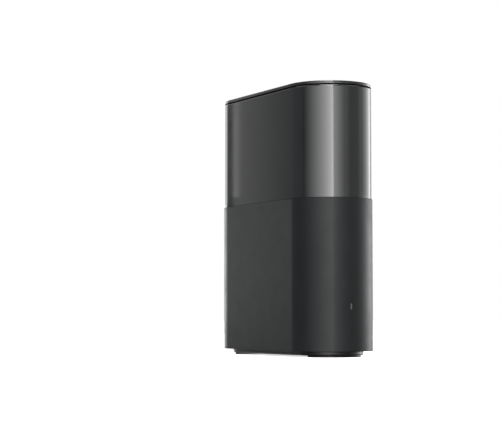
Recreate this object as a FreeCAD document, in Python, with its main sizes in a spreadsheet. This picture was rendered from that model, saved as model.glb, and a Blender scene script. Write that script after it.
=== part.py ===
"""Mesh wifi node: an upright tower router on a recessed plinth, with its boards, sockets and aerials inside.

The frame: +Z up, +X towards the front end with the status light, -X towards the rear end with the sockets.
The origin is on the ground under the middle of the body. Millimetres throughout.
"""
import FreeCAD, Part
import math
import os
import re

import Sketcher

Vector = FreeCAD.Vector

DIMENSIONS = {
    # Outer form: a stadium in plan, two flat sides and two half-round ends.
    "body_length": 172.0,
    "body_width": 66.0,
    "total_height": 205.8,
    "shell_bottom": 4.4,
    "seam_height": 118.6,
    "body_top": 202.6,
    "wall": 2.4,
    "seam_gap": 0.15,
    "tongue_depth": 6.0,
    "tongue_wall": 1.2,
    "tongue_root": 3.0,
    "slip": 0.2,
    "rim_round": 1.0,
    "ledge_width": 2.4,
    "ledge_thick": 1.6,
    "lower_ledge": 8.0,
    "upper_ledge": 194.6,
    # Top cover and the vent ring under it.
    "cover_underside": 203.55,
    "cover_inset": 0.5,
    "cover_round": 0.7,
    "vent_ring_inset": 4.6,
    "vent_ring_wall": 2.0,
    "vent_deck_thick": 2.0,
    "vent_deck_opening": 17.5,
    "vent_slot": 1.8,
    "vent_slot_pitch": 4.0,
    "vent_slot_height": 2.4,
    "vent_slot_drop": 0.6,
    "vent_slots_side": 27,
    "vent_slots_end": 11,
    "cover_lip_wall": 1.6,
    "cover_lip_depth": 3.0,
    # Base plate, its plinth and the rubber feet.
    "plinth_inset": 7.3,
    "plinth_bottom": 1.3,
    "plinth_chamfer": 0.9,
    "floor_thick": 2.0,
    "flange_bottom": 4.6,
    "base_top": 7.6,
    "foot_inset": 9.3,
    "foot_start": 60.0,
    "foot_pocket": 0.6,
    "foot_round": 0.5,
    "intake_slot": 2.6,
    "intake_length": 32.0,
    "intake_pitch": 6.0,
    "intake_first": 52.0,
    "intake_slots": 11,
    "label_length": 36.0,
    "label_width": 30.0,
    "label_thick": 0.3,
    "label_middle": 34.0,
    "base_screw_reach": 65.0,
    "base_screw_side": 14.0,
    "base_boss": 8.0,
    # Rear sockets and button.
    "bay_width": 12.6,
    "bay_bottom": 27.9,
    "bay_top": 88.5,
    "bay_corner": 2.0,
    "bezel_face": 84.6,
    "bezel_seat": 82.5,
    "bezel_back": 81.7,
    "bezel_lip": 1.2,
    "port_first": 35.7,
    "port_pitch": 15.0,
    "port_width": 11.8,
    "port_height": 6.8,
    "port_roof": 5.0,
    "key_width": 6.2,
    "key_height": 1.4,
    "latch_width": 4.0,
    "latch_height": 1.3,
    "dish_diameter": 12.6,
    "dish_floor": 84.5,
    "dish_floor_diameter": 9.4,
    "boss_diameter": 14.0,
    "boss_back": 81.8,
    "button_height": 98.0,
    "button_diameter": 7.0,
    "button_hole": 7.15,
    "button_face": 85.2,
    "button_collar": 9.4,
    "button_collar_front": 81.75,
    "button_collar_back": 80.4,
    "button_rod": 3.0,
    "button_rod_back": 77.0,
    "inlet_height": 18.9,
    "inlet_hole": 7.0,
    # Front light.
    "light_height": 37.9,
    "light_slot_height": 4.3,
    "light_slot_width": 1.4,
    "light_gap": 0.05,
    "guide_elbow_front": 79.0,
    "guide_elbow_back": 76.6,
    "guide_side": 6.8,
    # Main board, standing on edge.
    "board_face": 7.0,
    "board_thick": 1.6,
    "board_rear": 80.5,
    "board_front": 76.0,
    "board_bottom": 13.0,
    "board_step": 108.0,
    "board_top": 186.0,
    "board_upper_half": 62.0,
    "board_hole": 3.2,
    "rail_middle": 44.0,
    "rail_width": 8.0,
    "rail_back": 12.0,
    # Network sockets.
    "jack_front": 81.6,
    "jack_depth": 21.0,
    "jack_height": 13.4,
    "jack_width": 14.6,
    "jack_cavity": 15.0,
    "contact_width": 0.46,
    "contact_thick": 0.4,
    "contact_length": 11.0,
    "contact_pitch": 1.02,
    "transformer_length": 12.0,
    "transformer_height": 5.6,
    "transformer_width": 12.4,
    "transformer_gap": 3.4,
    # Power inlet.
    "inlet_front": 81.6,
    "inlet_depth": 14.0,
    "inlet_width": 9.0,
    "inlet_top": 4.7,
    "inlet_bore": 6.4,
    "inlet_bore_depth": 10.0,
    "inlet_pin": 2.0,
    "inlet_pin_back": 2.0,
    "capacitor_diameter": 8.0,
    "capacitor_height": 9.0,
    "inductor_size": 8.0,
    "inductor_height": 4.2,
    # Pairing switch.
    "switch_size": 6.2,
    "switch_front": 75.9,
    "switch_depth": 3.6,
    "stem_diameter": 3.5,
    "stem_front": 76.9,
    "stem_back": 75.1,
    "stem_hole": 3.9,
    "stem_hole_depth": 2.2,
    # Chips, shields and heat sinks.
    "can_height": 3.0,
    "can_wall": 0.4,
    "can_bottom": 118.0,
    "chip_height": 1.2,
    "pad_thick": 0.8,
    "sink_base": 3.0,
    "sink_half_length": 56.0,
    "sink_bottom": 114.0,
    "sink_top": 184.0,
    "sink_reach": 20.0,
    "fin_thick": 1.4,
    "fin_pitch": 6.0,
    "spreader_half_length": 37.0,
    "spreader_bottom": 30.0,
    "spreader_top": 182.0,
    "spreader_base": 2.0,
    "spreader_reach": 22.0,
    # Inner frame.
    "frame_deck_bottom": 9.7,
    "frame_deck_thick": 2.0,
    "frame_deck_inset": 3.0,
    "frame_boss": 8.0,
    "frame_boss_top": 20.0,
    "frame_window_length": 84.0,
    "frame_window_width": 30.0,
    "top_deck_bottom": 190.0,
    "top_deck_inset": 5.2,
    "top_boss_reach": 50.0,
    "top_boss_side": 21.0,
    "hanger_end": 72.0,
    "hanger_side": 24.0,
    "hanger_thick": 2.0,
    "hanger_width": 15.0,
    "hanger_bottom": 125.0,
    # Aerials and their leads.
    "aerial_width": 12.0,
    "aerial_thick": 0.8,
    "aerial_bottom": 124.0,
    "aerial_top": 186.0,
    "lead_diameter": 1.3,
    "plug_diameter": 3.0,
    "plug_height": 2.0,
    "plug_line": 104.0,
    # Screws.
    "screw_head": 5.6,
    "screw_head_height": 1.8,
    "screw_shank": 2.8,
    "screw_hole": 3.0,
    "screw_recess": 6.4,
    "base_screw_length": 13.0,
    "board_screw_length": 4.6,
    "frame_screw_length": 6.0,
}

PORTS = 4
CONTACTS_PER_PORT = 8
END_FIN_COUNT = 9
SPREADER_FIN_COUNT = 6
SWEEP_SHARE = 0.45
VOLUME_SLACK = 0.01

doc = FreeCAD.newDocument("mesh_node")
sheet = doc.addObject("Spreadsheet::Sheet", "dims")
for row, (alias, number) in enumerate(DIMENSIONS.items(), start=1):
    sheet.set(f"A{row}", alias.replace("_", " "))
    sheet.set(f"B{row}", str(number))
    sheet.setAlias(f"B{row}", alias)
doc.recompute()

nodes = []


def keep(piece, label):
    """Lists a finished piece as a node of the model under its own label."""
    piece.Label = label
    nodes.append(piece)
    return piece


def formula(text):
    """A formula over the named dimensions, written as the sheet's own cell references."""
    return re.sub(
        r"[a-z][a-z_]*",
        lambda word: f"<<dims>>.{word.group()}" if word.group() in DIMENSIONS else word.group(),
        text,
    )


def bind(thing, member, text):
    """Binds one property of an object to a formula over the named dimensions."""
    thing.setExpression(member, formula(text))


STRAIGHT = "(body_length - body_width)/2"


def inset(text):
    """The radius of the stadium that lies this far inside the body's outline."""
    return f"body_width/2 - ({text})"


# ---------------------------------------------------------------- sketches and features


def new_body(name):
    """An empty PartDesign body."""
    return doc.addObject("PartDesign::Body", name)


def new_sketch(body, plane="XY_Plane", offset=("0", "0", "0")):
    """A sketch on one of the body's own origin planes, shifted by three formulas in the plane's axes."""
    sketch = body.newObject("Sketcher::SketchObject", body.Name + "_sketch")
    support = next(f for f in body.Origin.OriginFeatures if f.Role == plane)
    sketch.AttachmentSupport = [(support, "")]
    sketch.MapMode = "FlatFace"
    for axis, text in zip("xyz", offset):
        bind(sketch, f"AttachmentOffset.Base.{axis}", text)
    return sketch


def measure(sketch, kind, *where, text, start):
    """A driving constraint whose value follows a formula."""
    index = sketch.addConstraint(Sketcher.Constraint(kind, *where, start))
    name = f"size_{index}"
    sketch.renameConstraint(index, name)
    bind(sketch, f"Constraints.{name}", text)


def stadium(sketch, radius):
    """Two straight sides joined by two half-round ends, all centred on the sketch's origin."""
    first = sketch.GeometryCount
    half, start = 20.0, 10.0
    up = Vector(0, 0, 1)
    right = Part.Circle(Vector(half, 0, 0), up, start)
    left = Part.Circle(Vector(-half, 0, 0), up, start)
    sketch.addGeometry(
        [
            Part.LineSegment(Vector(-half, start, 0), Vector(half, start, 0)),
            Part.ArcOfCircle(right, -math.pi / 2, math.pi / 2),
            Part.LineSegment(Vector(half, -start, 0), Vector(-half, -start, 0)),
            Part.ArcOfCircle(left, math.pi / 2, 1.5 * math.pi),
        ],
        False,
    )
    top, east, bottom, west = range(first, first + 4)
    for a, a_end, b, b_end in ((top, 2, east, 2), (east, 1, bottom, 1), (bottom, 2, west, 2), (west, 1, top, 1)):
        sketch.addConstraint(Sketcher.Constraint("Tangent", a, a_end, b, b_end))
    sketch.addConstraint(Sketcher.Constraint("Equal", east, west))
    sketch.addConstraint(Sketcher.Constraint("PointOnObject", east, 3, -1))
    sketch.addConstraint(Sketcher.Constraint("Symmetric", east, 3, west, 3, -1, 1))
    measure(sketch, "Radius", east, text=radius, start=start)
    measure(sketch, "DistanceX", -1, 1, east, 3, text=STRAIGHT, start=half)


def rectangle(sketch, width, height):
    """A rectangle centred on the sketch's origin."""
    first = sketch.GeometryCount
    a, b = 10.0, 8.0
    corners = [Vector(-a, -b, 0), Vector(a, -b, 0), Vector(a, b, 0), Vector(-a, b, 0)]
    sides = [Part.LineSegment(corners[i], corners[(i + 1) % 4]) for i in range(4)]
    sketch.addGeometry(sides, False)
    south, east, north, west = range(first, first + 4)
    for i in range(4):
        sketch.addConstraint(Sketcher.Constraint("Coincident", first + i, 2, first + (i + 1) % 4, 1))
    for line in (south, north):
        sketch.addConstraint(Sketcher.Constraint("Horizontal", line))
    for line in (east, west):
        sketch.addConstraint(Sketcher.Constraint("Vertical", line))
    sketch.addConstraint(Sketcher.Constraint("Symmetric", south, 1, north, 1, -1, 1))
    measure(sketch, "DistanceX", south, 1, south, 2, text=width, start=2 * a)
    measure(sketch, "DistanceY", east, 1, east, 2, text=height, start=2 * b)


def circle(sketch, diameter, x="0", y="0", signs=(1, 1)):
    """A circle at the given distances from the sketch's origin, to the side that the signs say."""
    reach = 10.0
    centre = Vector(signs[0] * reach, signs[1] * reach, 0)
    index = sketch.addGeometry(Part.Circle(centre, Vector(0, 0, 1), 2.0), False)
    measure(sketch, "Diameter", index, text=diameter, start=4.0)
    for kind, text, sign, line in (("DistanceX", x, signs[0], -2), ("DistanceY", y, signs[1], -1)):
        if text == "0":
            sketch.addConstraint(Sketcher.Constraint("PointOnObject", index, 3, line))
        elif sign > 0:
            measure(sketch, kind, -1, 1, index, 3, text=text, start=reach)
        else:
            measure(sketch, kind, index, 3, -1, 1, text=text, start=reach)


def four_circles(sketch, diameter, x, y):
    """One circle in each corner of a rectangle centred on the origin."""
    for signs in ((1, 1), (1, -1), (-1, 1), (-1, -1)):
        circle(sketch, diameter, x, y, signs)


def extrude(body, kind, sketch, length, reverse, symmetric):
    """A pad or pocket of the sketch, checked to have changed the body's volume."""
    before = body.Shape.Volume if body.Tip else 0.0
    feature = body.newObject(f"PartDesign::{kind}", f"{body.Name}_{kind.lower()}")
    feature.Profile = sketch
    if symmetric:
        feature.SideType = "Symmetric"
    feature.Reversed = reverse
    bind(feature, "Length", length)
    doc.recompute()
    grew = body.Shape.Volume - before
    if abs(grew) < VOLUME_SLACK or (grew > 0) != (kind == "Pad"):
        raise RuntimeError(f"{feature.Name} changed the volume of {body.Name} by {grew:.3f}")
    return feature


def pad(body, sketch, length, reverse=False, symmetric=False):
    """Adds material along the sketch's normal."""
    return extrude(body, "Pad", sketch, length, reverse, symmetric)


def pocket(body, sketch, length, reverse=False, symmetric=False):
    """Takes material away, downwards from the sketch unless reversed."""
    return extrude(body, "Pocket", sketch, length, reverse, symmetric)


def stadium_pad(body, radius, low, high):
    """A solid stadium between two heights."""
    sketch = new_sketch(body, offset=("0", "0", low))
    stadium(sketch, radius)
    return pad(body, sketch, f"({high}) - ({low})")


def stadium_ring(body, outer, inner, low, high):
    """A ring between two stadiums and two heights."""
    sketch = new_sketch(body, offset=("0", "0", low))
    stadium(sketch, outer)
    stadium(sketch, inner)
    return pad(body, sketch, f"({high}) - ({low})")


def stadium_pocket(body, radius, low, high):
    """Hollows a stadium out between two heights."""
    sketch = new_sketch(body, offset=("0", "0", low))
    stadium(sketch, radius)
    return pocket(body, sketch, f"({high}) - ({low})", reverse=True)


def repeat(body, feature, axis, length, count):
    """Repeats a feature in a row along one of the body's axes."""
    pattern = body.newObject("PartDesign::LinearPattern", f"{body.Name}_row")
    pattern.Originals = [feature]
    direction = next(f for f in body.Origin.OriginFeatures if f.Role == axis)
    pattern.Direction = (direction, [""])
    bind(pattern, "Length", length)
    pattern.Occurrences = count
    before = body.Shape.Volume
    body.Tip = pattern
    doc.recompute()
    if abs(body.Shape.Volume - before) < VOLUME_SLACK:
        raise RuntimeError(f"the row in {body.Name} changed nothing")
    return pattern


def dress_edges(body, kind, size, wanted):
    """Rounds or chamfers the edges of the body's tip that the test picks."""
    tip = body.Tip
    names = [f"Edge{i}" for i, edge in enumerate(tip.Shape.Edges, start=1) if wanted(edge)]
    if not names:
        raise RuntimeError(f"no edge of {body.Name} to dress")
    feature = body.newObject(f"PartDesign::{kind}", f"{body.Name}_{kind.lower()}")
    feature.Base = (tip, names)
    bind(feature, "Radius" if kind == "Fillet" else "Size", size)
    doc.recompute()
    return feature


def edge_at_height(height, outside=0.0):
    """A test for level edges at one height whose points lie outside a stadium of that radius."""
    straight = (DIMENSIONS["body_length"] - DIMENSIONS["body_width"]) / 2

    def wanted(edge):
        box = edge.BoundBox
        if abs(box.ZMin - height) > 1e-4 or abs(box.ZMax - height) > 1e-4:
            return False
        for vertex in edge.Vertexes:
            away = Vector(max(abs(vertex.X) - straight, 0.0), vertex.Y, 0)
            if away.Length < outside:
                return False
        return True

    return wanted


# ---------------------------------------------------------------- primitives


def box(name, size, place):
    """A box with bound sizes, whose lowest corner is at the place."""
    piece = doc.addObject("Part::Box", name)
    for member, text in zip(("Length", "Width", "Height"), size):
        bind(piece, member, text)
    for axis, text in zip("xyz", place):
        bind(piece, f"Placement.Base.{axis}", text)
    return piece


def rod(name, diameter, length, place, axis="Z"):
    """A cylinder that starts at the place and runs along +X, +Y or +Z."""
    piece = doc.addObject("Part::Cylinder", name)
    turn = {"X": (Vector(0, 1, 0), 90), "Y": (Vector(1, 0, 0), -90), "Z": (Vector(0, 0, 1), 0)}
    piece.Placement = FreeCAD.Placement(Vector(), FreeCAD.Rotation(*turn[axis]))
    bind(piece, "Radius", f"({diameter})/2")
    bind(piece, "Height", length)
    for letter, text in zip("xyz", place):
        bind(piece, f"Placement.Base.{letter}", text)
    return piece


def fuse(name, pieces):
    """One solid from several."""
    whole = doc.addObject("Part::MultiFuse", name)
    whole.Shapes = pieces
    return whole


def cut(name, base, tools):
    """The base with every tool taken away."""
    result = doc.addObject("Part::Cut", name)
    result.Base = base
    result.Tool = tools[0] if len(tools) == 1 else fuse(name + "_tools", tools)
    return result


def group(name, pieces):
    """Separate solids that share one node."""
    together = doc.addObject("Part::Compound", name)
    together.Links = pieces
    return together


def stadium_block(name, radius, low, high):
    """A solid stadium made from a box and two cylinders, for use in booleans."""
    height = f"({high}) - ({low})"
    middle = box(
        name + "_middle",
        ("body_length - body_width", f"2*({radius})", height),
        (f"-{STRAIGHT}", f"-({radius})", low),
    )
    ends = [
        rod(f"{name}_end_{side}", f"2*({radius})", height, (f"{sign}{STRAIGHT}", "0", low))
        for side, sign in (("front", ""), ("rear", "-"))
    ]
    return fuse(name, [middle, *ends])


# ---------------------------------------------------------------- outer shells


def make_lower_shell():
    """The matt sleeve: open at both ends, with the socket bay, two dished holes and the light slot."""
    body = new_body("lower_shell")
    stadium_ring(body, inset("0"), inset("wall"), "shell_bottom", "seam_height")
    stadium_ring(body, inset("wall/2"), inset("wall + slip + 1"), "lower_ledge", "lower_ledge + ledge_thick")
    for height in ("button_height", "inlet_height"):
        boss = new_sketch(body, "YZ_Plane", ("0", height, "-bezel_face + slip"))
        circle(boss, "boss_diameter")
        pad(body, boss, "bezel_face - slip - boss_back")
    bay = new_sketch(body, "YZ_Plane", ("0", "(bay_bottom + bay_top)/2", "-body_length/2 - 1"))
    rectangle(bay, "bay_width", "bay_top - bay_bottom")
    pocket(body, bay, "wall + 6", reverse=True)
    dress_edges(body, "Fillet", "bay_corner", is_bay_corner)
    for height, hole in (("button_height", "button_hole"), ("inlet_height", "inlet_hole")):
        dish = body.newObject("PartDesign::SubtractiveCone", "lower_shell_dish")
        support = next(f for f in body.Origin.OriginFeatures if f.Role == "YZ_Plane")
        dish.AttachmentSupport = [(support, "")]
        dish.MapMode = "FlatFace"
        bind(dish, "AttachmentOffset.Base.y", height)
        bind(dish, "AttachmentOffset.Base.z", "-body_length/2 - 1")
        slope = "(dish_diameter - dish_floor_diameter)/2/(body_length/2 - dish_floor)"
        bind(dish, "Radius1", f"dish_diameter/2 + {slope}")
        bind(dish, "Radius2", "dish_floor_diameter/2")
        bind(dish, "Height", "body_length/2 + 1 - dish_floor")
        doc.recompute()
        through = new_sketch(body, "YZ_Plane", ("0", height, "-body_length/2 - 1"))
        circle(through, hole)
        pocket(body, through, "wall + 6", reverse=True)
    slot = new_sketch(body, "YZ_Plane", ("0", "light_height", "body_length/2 + 1"))
    rectangle(slot, "light_slot_width", "light_slot_height")
    pocket(body, slot, "wall + 3")
    return keep(body, "lower_shell")


def is_bay_corner(edge):
    """True for the four edges that run along X at the corners of the socket bay."""
    box_ = edge.BoundBox
    size = DIMENSIONS
    level = box_.YLength < 1e-6 and box_.ZLength < 1e-6 and box_.XMax < -size["boss_back"]
    side = abs(abs(box_.YMax) - size["bay_width"] / 2) < 1e-4
    end = min(abs(box_.ZMax - size["bay_bottom"]), abs(box_.ZMax - size["bay_top"])) < 1e-4
    return level and side and end


def make_upper_shell():
    """The gloss sleeve, with a tongue that slides into the matt one and a ledge for the vent ring."""
    body = new_body("upper_shell")
    tongue = inset("wall + slip")
    tongue_low = "seam_height - tongue_depth"
    root = "seam_height + tongue_root"
    stadium_ring(body, tongue, inset("wall + slip + tongue_wall"), tongue_low, root)
    stadium_ring(body, inset("0"), inset("wall + slip + tongue_wall/2"), "seam_height + seam_gap", root)
    stadium_ring(body, inset("0"), inset("wall"), root, "body_top")
    stadium_ring(
        body,
        inset("wall/2"),
        inset("wall + ledge_width"),
        "upper_ledge",
        "upper_ledge + ledge_thick",
    )
    outline = DIMENSIONS["body_width"] / 2
    dress_edges(body, "Fillet", "rim_round", edge_at_height(DIMENSIONS["body_top"], outline - 0.1))
    return keep(body, "upper_shell")


def make_vent_ring():
    """The dark ring in the slit under the cover: a deck with an opening and a slotted wall."""
    body = new_body("vent_ring")
    low = "upper_ledge + ledge_thick"
    deck = f"{low} + vent_deck_thick"
    stadium_ring(body, inset("wall + slip"), "vent_deck_opening", low, deck)
    outer = inset("vent_ring_inset")
    inner = inset("vent_ring_inset + vent_ring_wall")
    stadium_ring(body, outer, inner, deck, "cover_underside")
    slot_low = "cover_underside - vent_slot_drop - vent_slot_height"
    middle = f"{slot_low} + vent_slot_height/2"
    side_slot = new_sketch(body, "XZ_Plane", (f"-{STRAIGHT}", middle, "0"))
    rectangle(side_slot, "vent_slot", "vent_slot_height")
    row = pocket(body, side_slot, "body_width", symmetric=True)
    repeat(body, row, "X_Axis", f"2*{STRAIGHT}", DIMENSIONS["vent_slots_side"])
    end_slot = new_sketch(body, "YZ_Plane", ("-(vent_slots_end - 1)/2*vent_slot_pitch", middle, "0"))
    rectangle(end_slot, "vent_slot", "vent_slot_height")
    row = pocket(body, end_slot, "body_length", symmetric=True)
    repeat(body, row, "Y_Axis", "(vent_slots_end - 1)*vent_slot_pitch", DIMENSIONS["vent_slots_end"])
    holes = new_sketch(body, offset=("0", "0", deck))
    four_circles(holes, "screw_hole", "top_boss_reach", "top_boss_side")
    pocket(body, holes, "vent_deck_thick + 1")
    return keep(body, "vent_ring")


def make_top_cover():
    """The thin lid: its rim hangs over the slit, and a lip under it plugs into the vent ring."""
    body = new_body("top_cover")
    stadium_pad(body, inset("cover_inset"), "cover_underside", "total_height")
    lip = inset("vent_ring_inset + vent_ring_wall + slip")
    lip_inner = inset("vent_ring_inset + vent_ring_wall + slip + cover_lip_wall")
    stadium_ring(body, lip, lip_inner, "cover_underside - cover_lip_depth", "cover_underside")
    outline = DIMENSIONS["body_width"] / 2 - DIMENSIONS["cover_inset"]
    dress_edges(body, "Fillet", "cover_round", edge_at_height(DIMENSIONS["total_height"], outline - 0.1))
    return keep(body, "top_cover")


# ---------------------------------------------------------------- base


def make_base_plate():
    """The tray that closes the bottom: a recessed plinth, a flange inside the shell and intake slots."""
    body = new_body("base_plate")
    stadium_pad(body, inset("plinth_inset"), "plinth_bottom", "base_top")
    outline = DIMENSIONS["body_width"] / 2 - DIMENSIONS["plinth_inset"]
    dress_edges(
        body,
        "Chamfer",
        "plinth_chamfer",
        edge_at_height(DIMENSIONS["plinth_bottom"], outline - 0.1),
    )
    stadium_ring(
        body,
        inset("wall + slip"),
        inset("plinth_inset + 1"),
        "flange_bottom",
        "base_top",
    )
    floor = "plinth_bottom + floor_thick"
    stadium_pocket(body, inset("plinth_inset + floor_thick"), floor, "base_top")
    bosses = new_sketch(body, offset=("0", "0", floor))
    four_circles(bosses, "base_boss", "base_screw_reach", "base_screw_side")
    pad(body, bosses, f"frame_deck_bottom - ({floor})")
    heads = new_sketch(body, offset=("0", "0", "0"))
    four_circles(heads, "screw_recess", "base_screw_reach", "base_screw_side")
    pocket(body, heads, "plinth_bottom + foot_pocket + screw_head_height + 0.6", reverse=True)
    holes = new_sketch(body, offset=("0", "0", "0"))
    four_circles(holes, "screw_hole", "base_screw_reach", "base_screw_side")
    pocket(body, holes, "base_top + 6", reverse=True)
    slot = new_sketch(body, offset=("-intake_first", "0", "0"))
    rectangle(slot, "intake_slot", "intake_length")
    first = pocket(body, slot, "base_top", reverse=True)
    repeat(body, first, "X_Axis", "(intake_slots - 1)*intake_pitch", DIMENSIONS["intake_slots"])
    return keep(body, "base_plate")


def foot_block(name, front, radius, low, high):
    """A D-shaped block under one end: a round end cut off square at the foot's inner edge."""
    height = f"({high}) - ({low})"
    centre = STRAIGHT if front else f"-{STRAIGHT}"
    disc = rod(name + "_disc", f"2*({radius})", height, (centre, "0", low))
    width = "body_width"
    x = "foot_start" if front else "-foot_start - body_width"
    keeper = box(name + "_keeper", ("body_width", width, height), (x, "-body_width/2", low))
    block = doc.addObject("Part::Common", name)
    block.Base = disc
    block.Tool = keeper
    return block


def make_feet(base_plate):
    """Rubber pads under both ends, each glued into a shallow pocket of the base plate."""
    radius = inset("foot_inset")
    pockets = [
        foot_block(f"{end}_foot_pocket", end == "front", f"{radius} + slip/2", "plinth_bottom - 0.5",
                   "plinth_bottom + foot_pocket")
        for end in ("front", "rear")
    ]
    label_seat = box(
        "label_seat",
        ("label_length + 0.4", "label_width + 0.4", "label_thick + 0.5"),
        ("label_middle - label_length/2 - 0.2", "-label_width/2 - 0.2", "plinth_bottom - 0.5"),
    )
    plate = cut("base_plate_pocketed", base_plate, [*pockets, label_seat])
    nodes.remove(base_plate)
    base_plate.Label = "base_plate_blank"
    keep(plate, "base_plate")
    for end in ("front", "rear"):
        block = foot_block(f"{end}_foot_block", end == "front", radius, "0", "plinth_bottom + foot_pocket")
        doc.recompute()
        rounded = doc.addObject("Part::Fillet", f"{end}_foot")
        rounded.Base = block
        lowest = [i for i, e in enumerate(block.Shape.Edges, start=1) if e.BoundBox.ZMax < 1e-6]
        rounded.Edges = [(i, DIMENSIONS["foot_round"], DIMENSIONS["foot_round"]) for i in lowest]
        keep(rounded, f"{end}_foot")
    label = box(
        "rating_label",
        ("label_length", "label_width", "label_thick"),
        ("label_middle - label_length/2", "-label_width/2", "plinth_bottom"),
    )
    keep(label, "rating_label")


# ---------------------------------------------------------------- rear sockets


def port_height(index):
    """The height of one network socket's middle, as a formula."""
    return f"(port_first + {index}*port_pitch)"


def port_opening(name, index, front, depth):
    """The stepped opening of one network socket, as a tool that runs along X from the front face."""
    middle = port_height(index)
    steps = (
        ("port_width", "-port_roof", "port_height"),
        ("key_width", "-port_roof + port_height", "key_height"),
        ("latch_width", "-port_roof + port_height + key_height", "latch_height"),
    )
    blocks = [
        box(f"{name}_{i}", (depth, tall, width), (f"-({front})", low, f"{middle} - {width}/2"))
        for i, (width, low, tall) in enumerate(steps)
    ]
    return blocks


def make_port_bezel():
    """The flat panel in the socket bay, held from inside by a lip, with four stepped openings."""
    body = new_body("port_bezel_blank")
    middle = "(bay_bottom + bay_top)/2"
    face = new_sketch(body, "YZ_Plane", ("0", middle, "-bezel_face"))
    rectangle(face, "bay_width - slip", "bay_top - bay_bottom - slip")
    pad(body, face, "bezel_face - bezel_back")
    dress_edges(
        body,
        "Fillet",
        "bay_corner - slip/2",
        lambda e: e.BoundBox.YLength < 1e-6 and e.BoundBox.ZLength < 1e-6,
    )
    lip = new_sketch(body, "YZ_Plane", ("0", middle, "-bezel_seat"))
    rectangle(lip, "bay_width + 2*bezel_lip", "bay_top - bay_bottom + bezel_lip/2")
    pad(body, lip, "bezel_seat - bezel_back")
    tools = []
    for index in range(PORTS):
        tools += port_opening(f"bezel_port_{index + 1}", index, "bezel_face + 1", "5")
    return keep(cut("port_bezel", body, tools), "port_bezel")


def make_network_jacks():
    """Four single network sockets, each a block with a stepped cavity, and their spring contacts."""
    contacts = []
    for index in range(PORTS):
        name = f"lan_jack_{index + 1}"
        block = box(
            name + "_block",
            ("jack_depth", "jack_height", "jack_width"),
            ("-jack_front", "board_face - jack_height", f"{port_height(index)} - jack_width/2"),
        )
        keep(cut(name, block, port_opening(name, index, "jack_front", "jack_cavity")), name)
        for pin in range(CONTACTS_PER_PORT):
            across = f"{port_height(index)} + ({pin} - 3.5)*contact_pitch - contact_width/2"
            contacts.append(
                box(
                    f"contact_{index + 1}_{pin + 1}",
                    ("contact_length", "contact_thick", "contact_width"),
                    ("-jack_front + jack_cavity - contact_length", "-port_roof + 0.3", across),
                )
            )
    keep(group("lan_contacts", contacts), "lan_contacts")
    transformers = [
        box(
            f"transformer_{index + 1}",
            ("transformer_length", "transformer_height", "transformer_width"),
            (
                "-jack_front + jack_depth + transformer_gap",
                "board_face - transformer_height",
                f"{port_height(index)} - transformer_width/2",
            ),
        )
        for index in range(PORTS)
    ]
    keep(group("lan_transformers", transformers), "lan_transformers")


def make_power_inlet():
    """The barrel socket at the bottom of the rear end, with its centre pin, capacitors and coils."""
    block = box(
        "dc_jack_block",
        ("inlet_depth", "board_face + inlet_top", "inlet_width"),
        ("-inlet_front", "-inlet_top", "inlet_height - inlet_width/2"),
    )
    bore = rod(
        "dc_jack_bore", "inlet_bore", "inlet_bore_depth", ("-inlet_front", "0", "inlet_height"), "X"
    )
    keep(cut("dc_jack", block, [bore]), "dc_jack")
    pin = rod(
        "dc_pin",
        "inlet_pin",
        "inlet_bore_depth - inlet_pin_back",
        ("-inlet_front + inlet_pin_back", "0", "inlet_height"),
        "X",
    )
    keep(pin, "dc_pin")
    capacitors = [
        rod(
            f"capacitor_{i}",
            "capacitor_diameter",
            "capacitor_height",
            (f"{x}", "board_face - capacitor_height", f"{z}"),
            "Y",
        )
        for i, (x, z) in enumerate((("-61", "19"), ("-52", "19"), ("66", "22")))
    ]
    keep(group("power_capacitors", capacitors), "power_capacitors")
    coils = [
        box(
            f"coil_{i}",
            ("inductor_size", "inductor_height", "inductor_size"),
            (x, "board_face - inductor_height", z),
        )
        for i, (x, z) in enumerate((("-38", "16"), ("-26", "16"), ("-14", "16")))
    ]
    keep(group("power_coils", coils), "power_coils")


def make_button():
    """The pairing button with its collar and rod, and the tact switch behind it."""
    height = "button_height"
    cap = rod(
        "button_cap",
        "button_diameter",
        "button_face - button_collar_front",
        ("-button_face", "0", height),
        "X",
    )
    collar = rod(
        "button_collar_disc",
        "button_collar",
        "button_collar_front - button_collar_back",
        ("-button_collar_front", "0", height),
        "X",
    )
    stick = rod(
        "button_stick",
        "button_rod",
        "button_collar_back - button_rod_back",
        ("-button_collar_back", "0", height),
        "X",
    )
    keep(fuse("pair_button", [cap, collar, stick]), "pair_button")
    stem = rod(
        "switch_stem", "stem_diameter", "stem_front - stem_back", ("-stem_front", "0", height), "X"
    )
    keep(stem, "switch_stem")
    half = "switch_size/2"
    case = box(
        "switch_case",
        ("switch_depth", "switch_size", "switch_size"),
        ("-switch_front", f"-{half}", f"{height} - {half}"),
    )
    bracket = box(
        "switch_bracket",
        ("switch_depth/2", f"board_face - {half}", "switch_size"),
        ("-switch_front + switch_depth/2", half, f"{height} - {half}"),
    )
    well = rod("switch_well", "stem_hole", "stem_hole_depth", ("-switch_front", "0", height), "X")
    keep(cut("pair_switch", fuse("switch_body", [case, bracket]), [well]), "pair_switch")


# ---------------------------------------------------------------- board and what is on it


def make_board():
    """The stepped main board, standing on edge beside the middle plane."""
    low = box(
        "board_low",
        ("board_rear + board_front", "board_thick", "board_step - board_bottom"),
        ("-board_rear", "board_face", "board_bottom"),
    )
    high = box(
        "board_high",
        ("2*board_upper_half", "board_thick", "board_top - board_step"),
        ("-board_upper_half", "board_face", "board_step"),
    )
    holes = [
        rod(f"board_hole_{i}", "board_hole", "board_thick + 2", (x, "board_face - 1", z), "Y")
        for i, (x, z) in enumerate(board_screw_places())
    ]
    keep(cut("main_board", fuse("board_whole", [low, high]), holes), "main_board")


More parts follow.
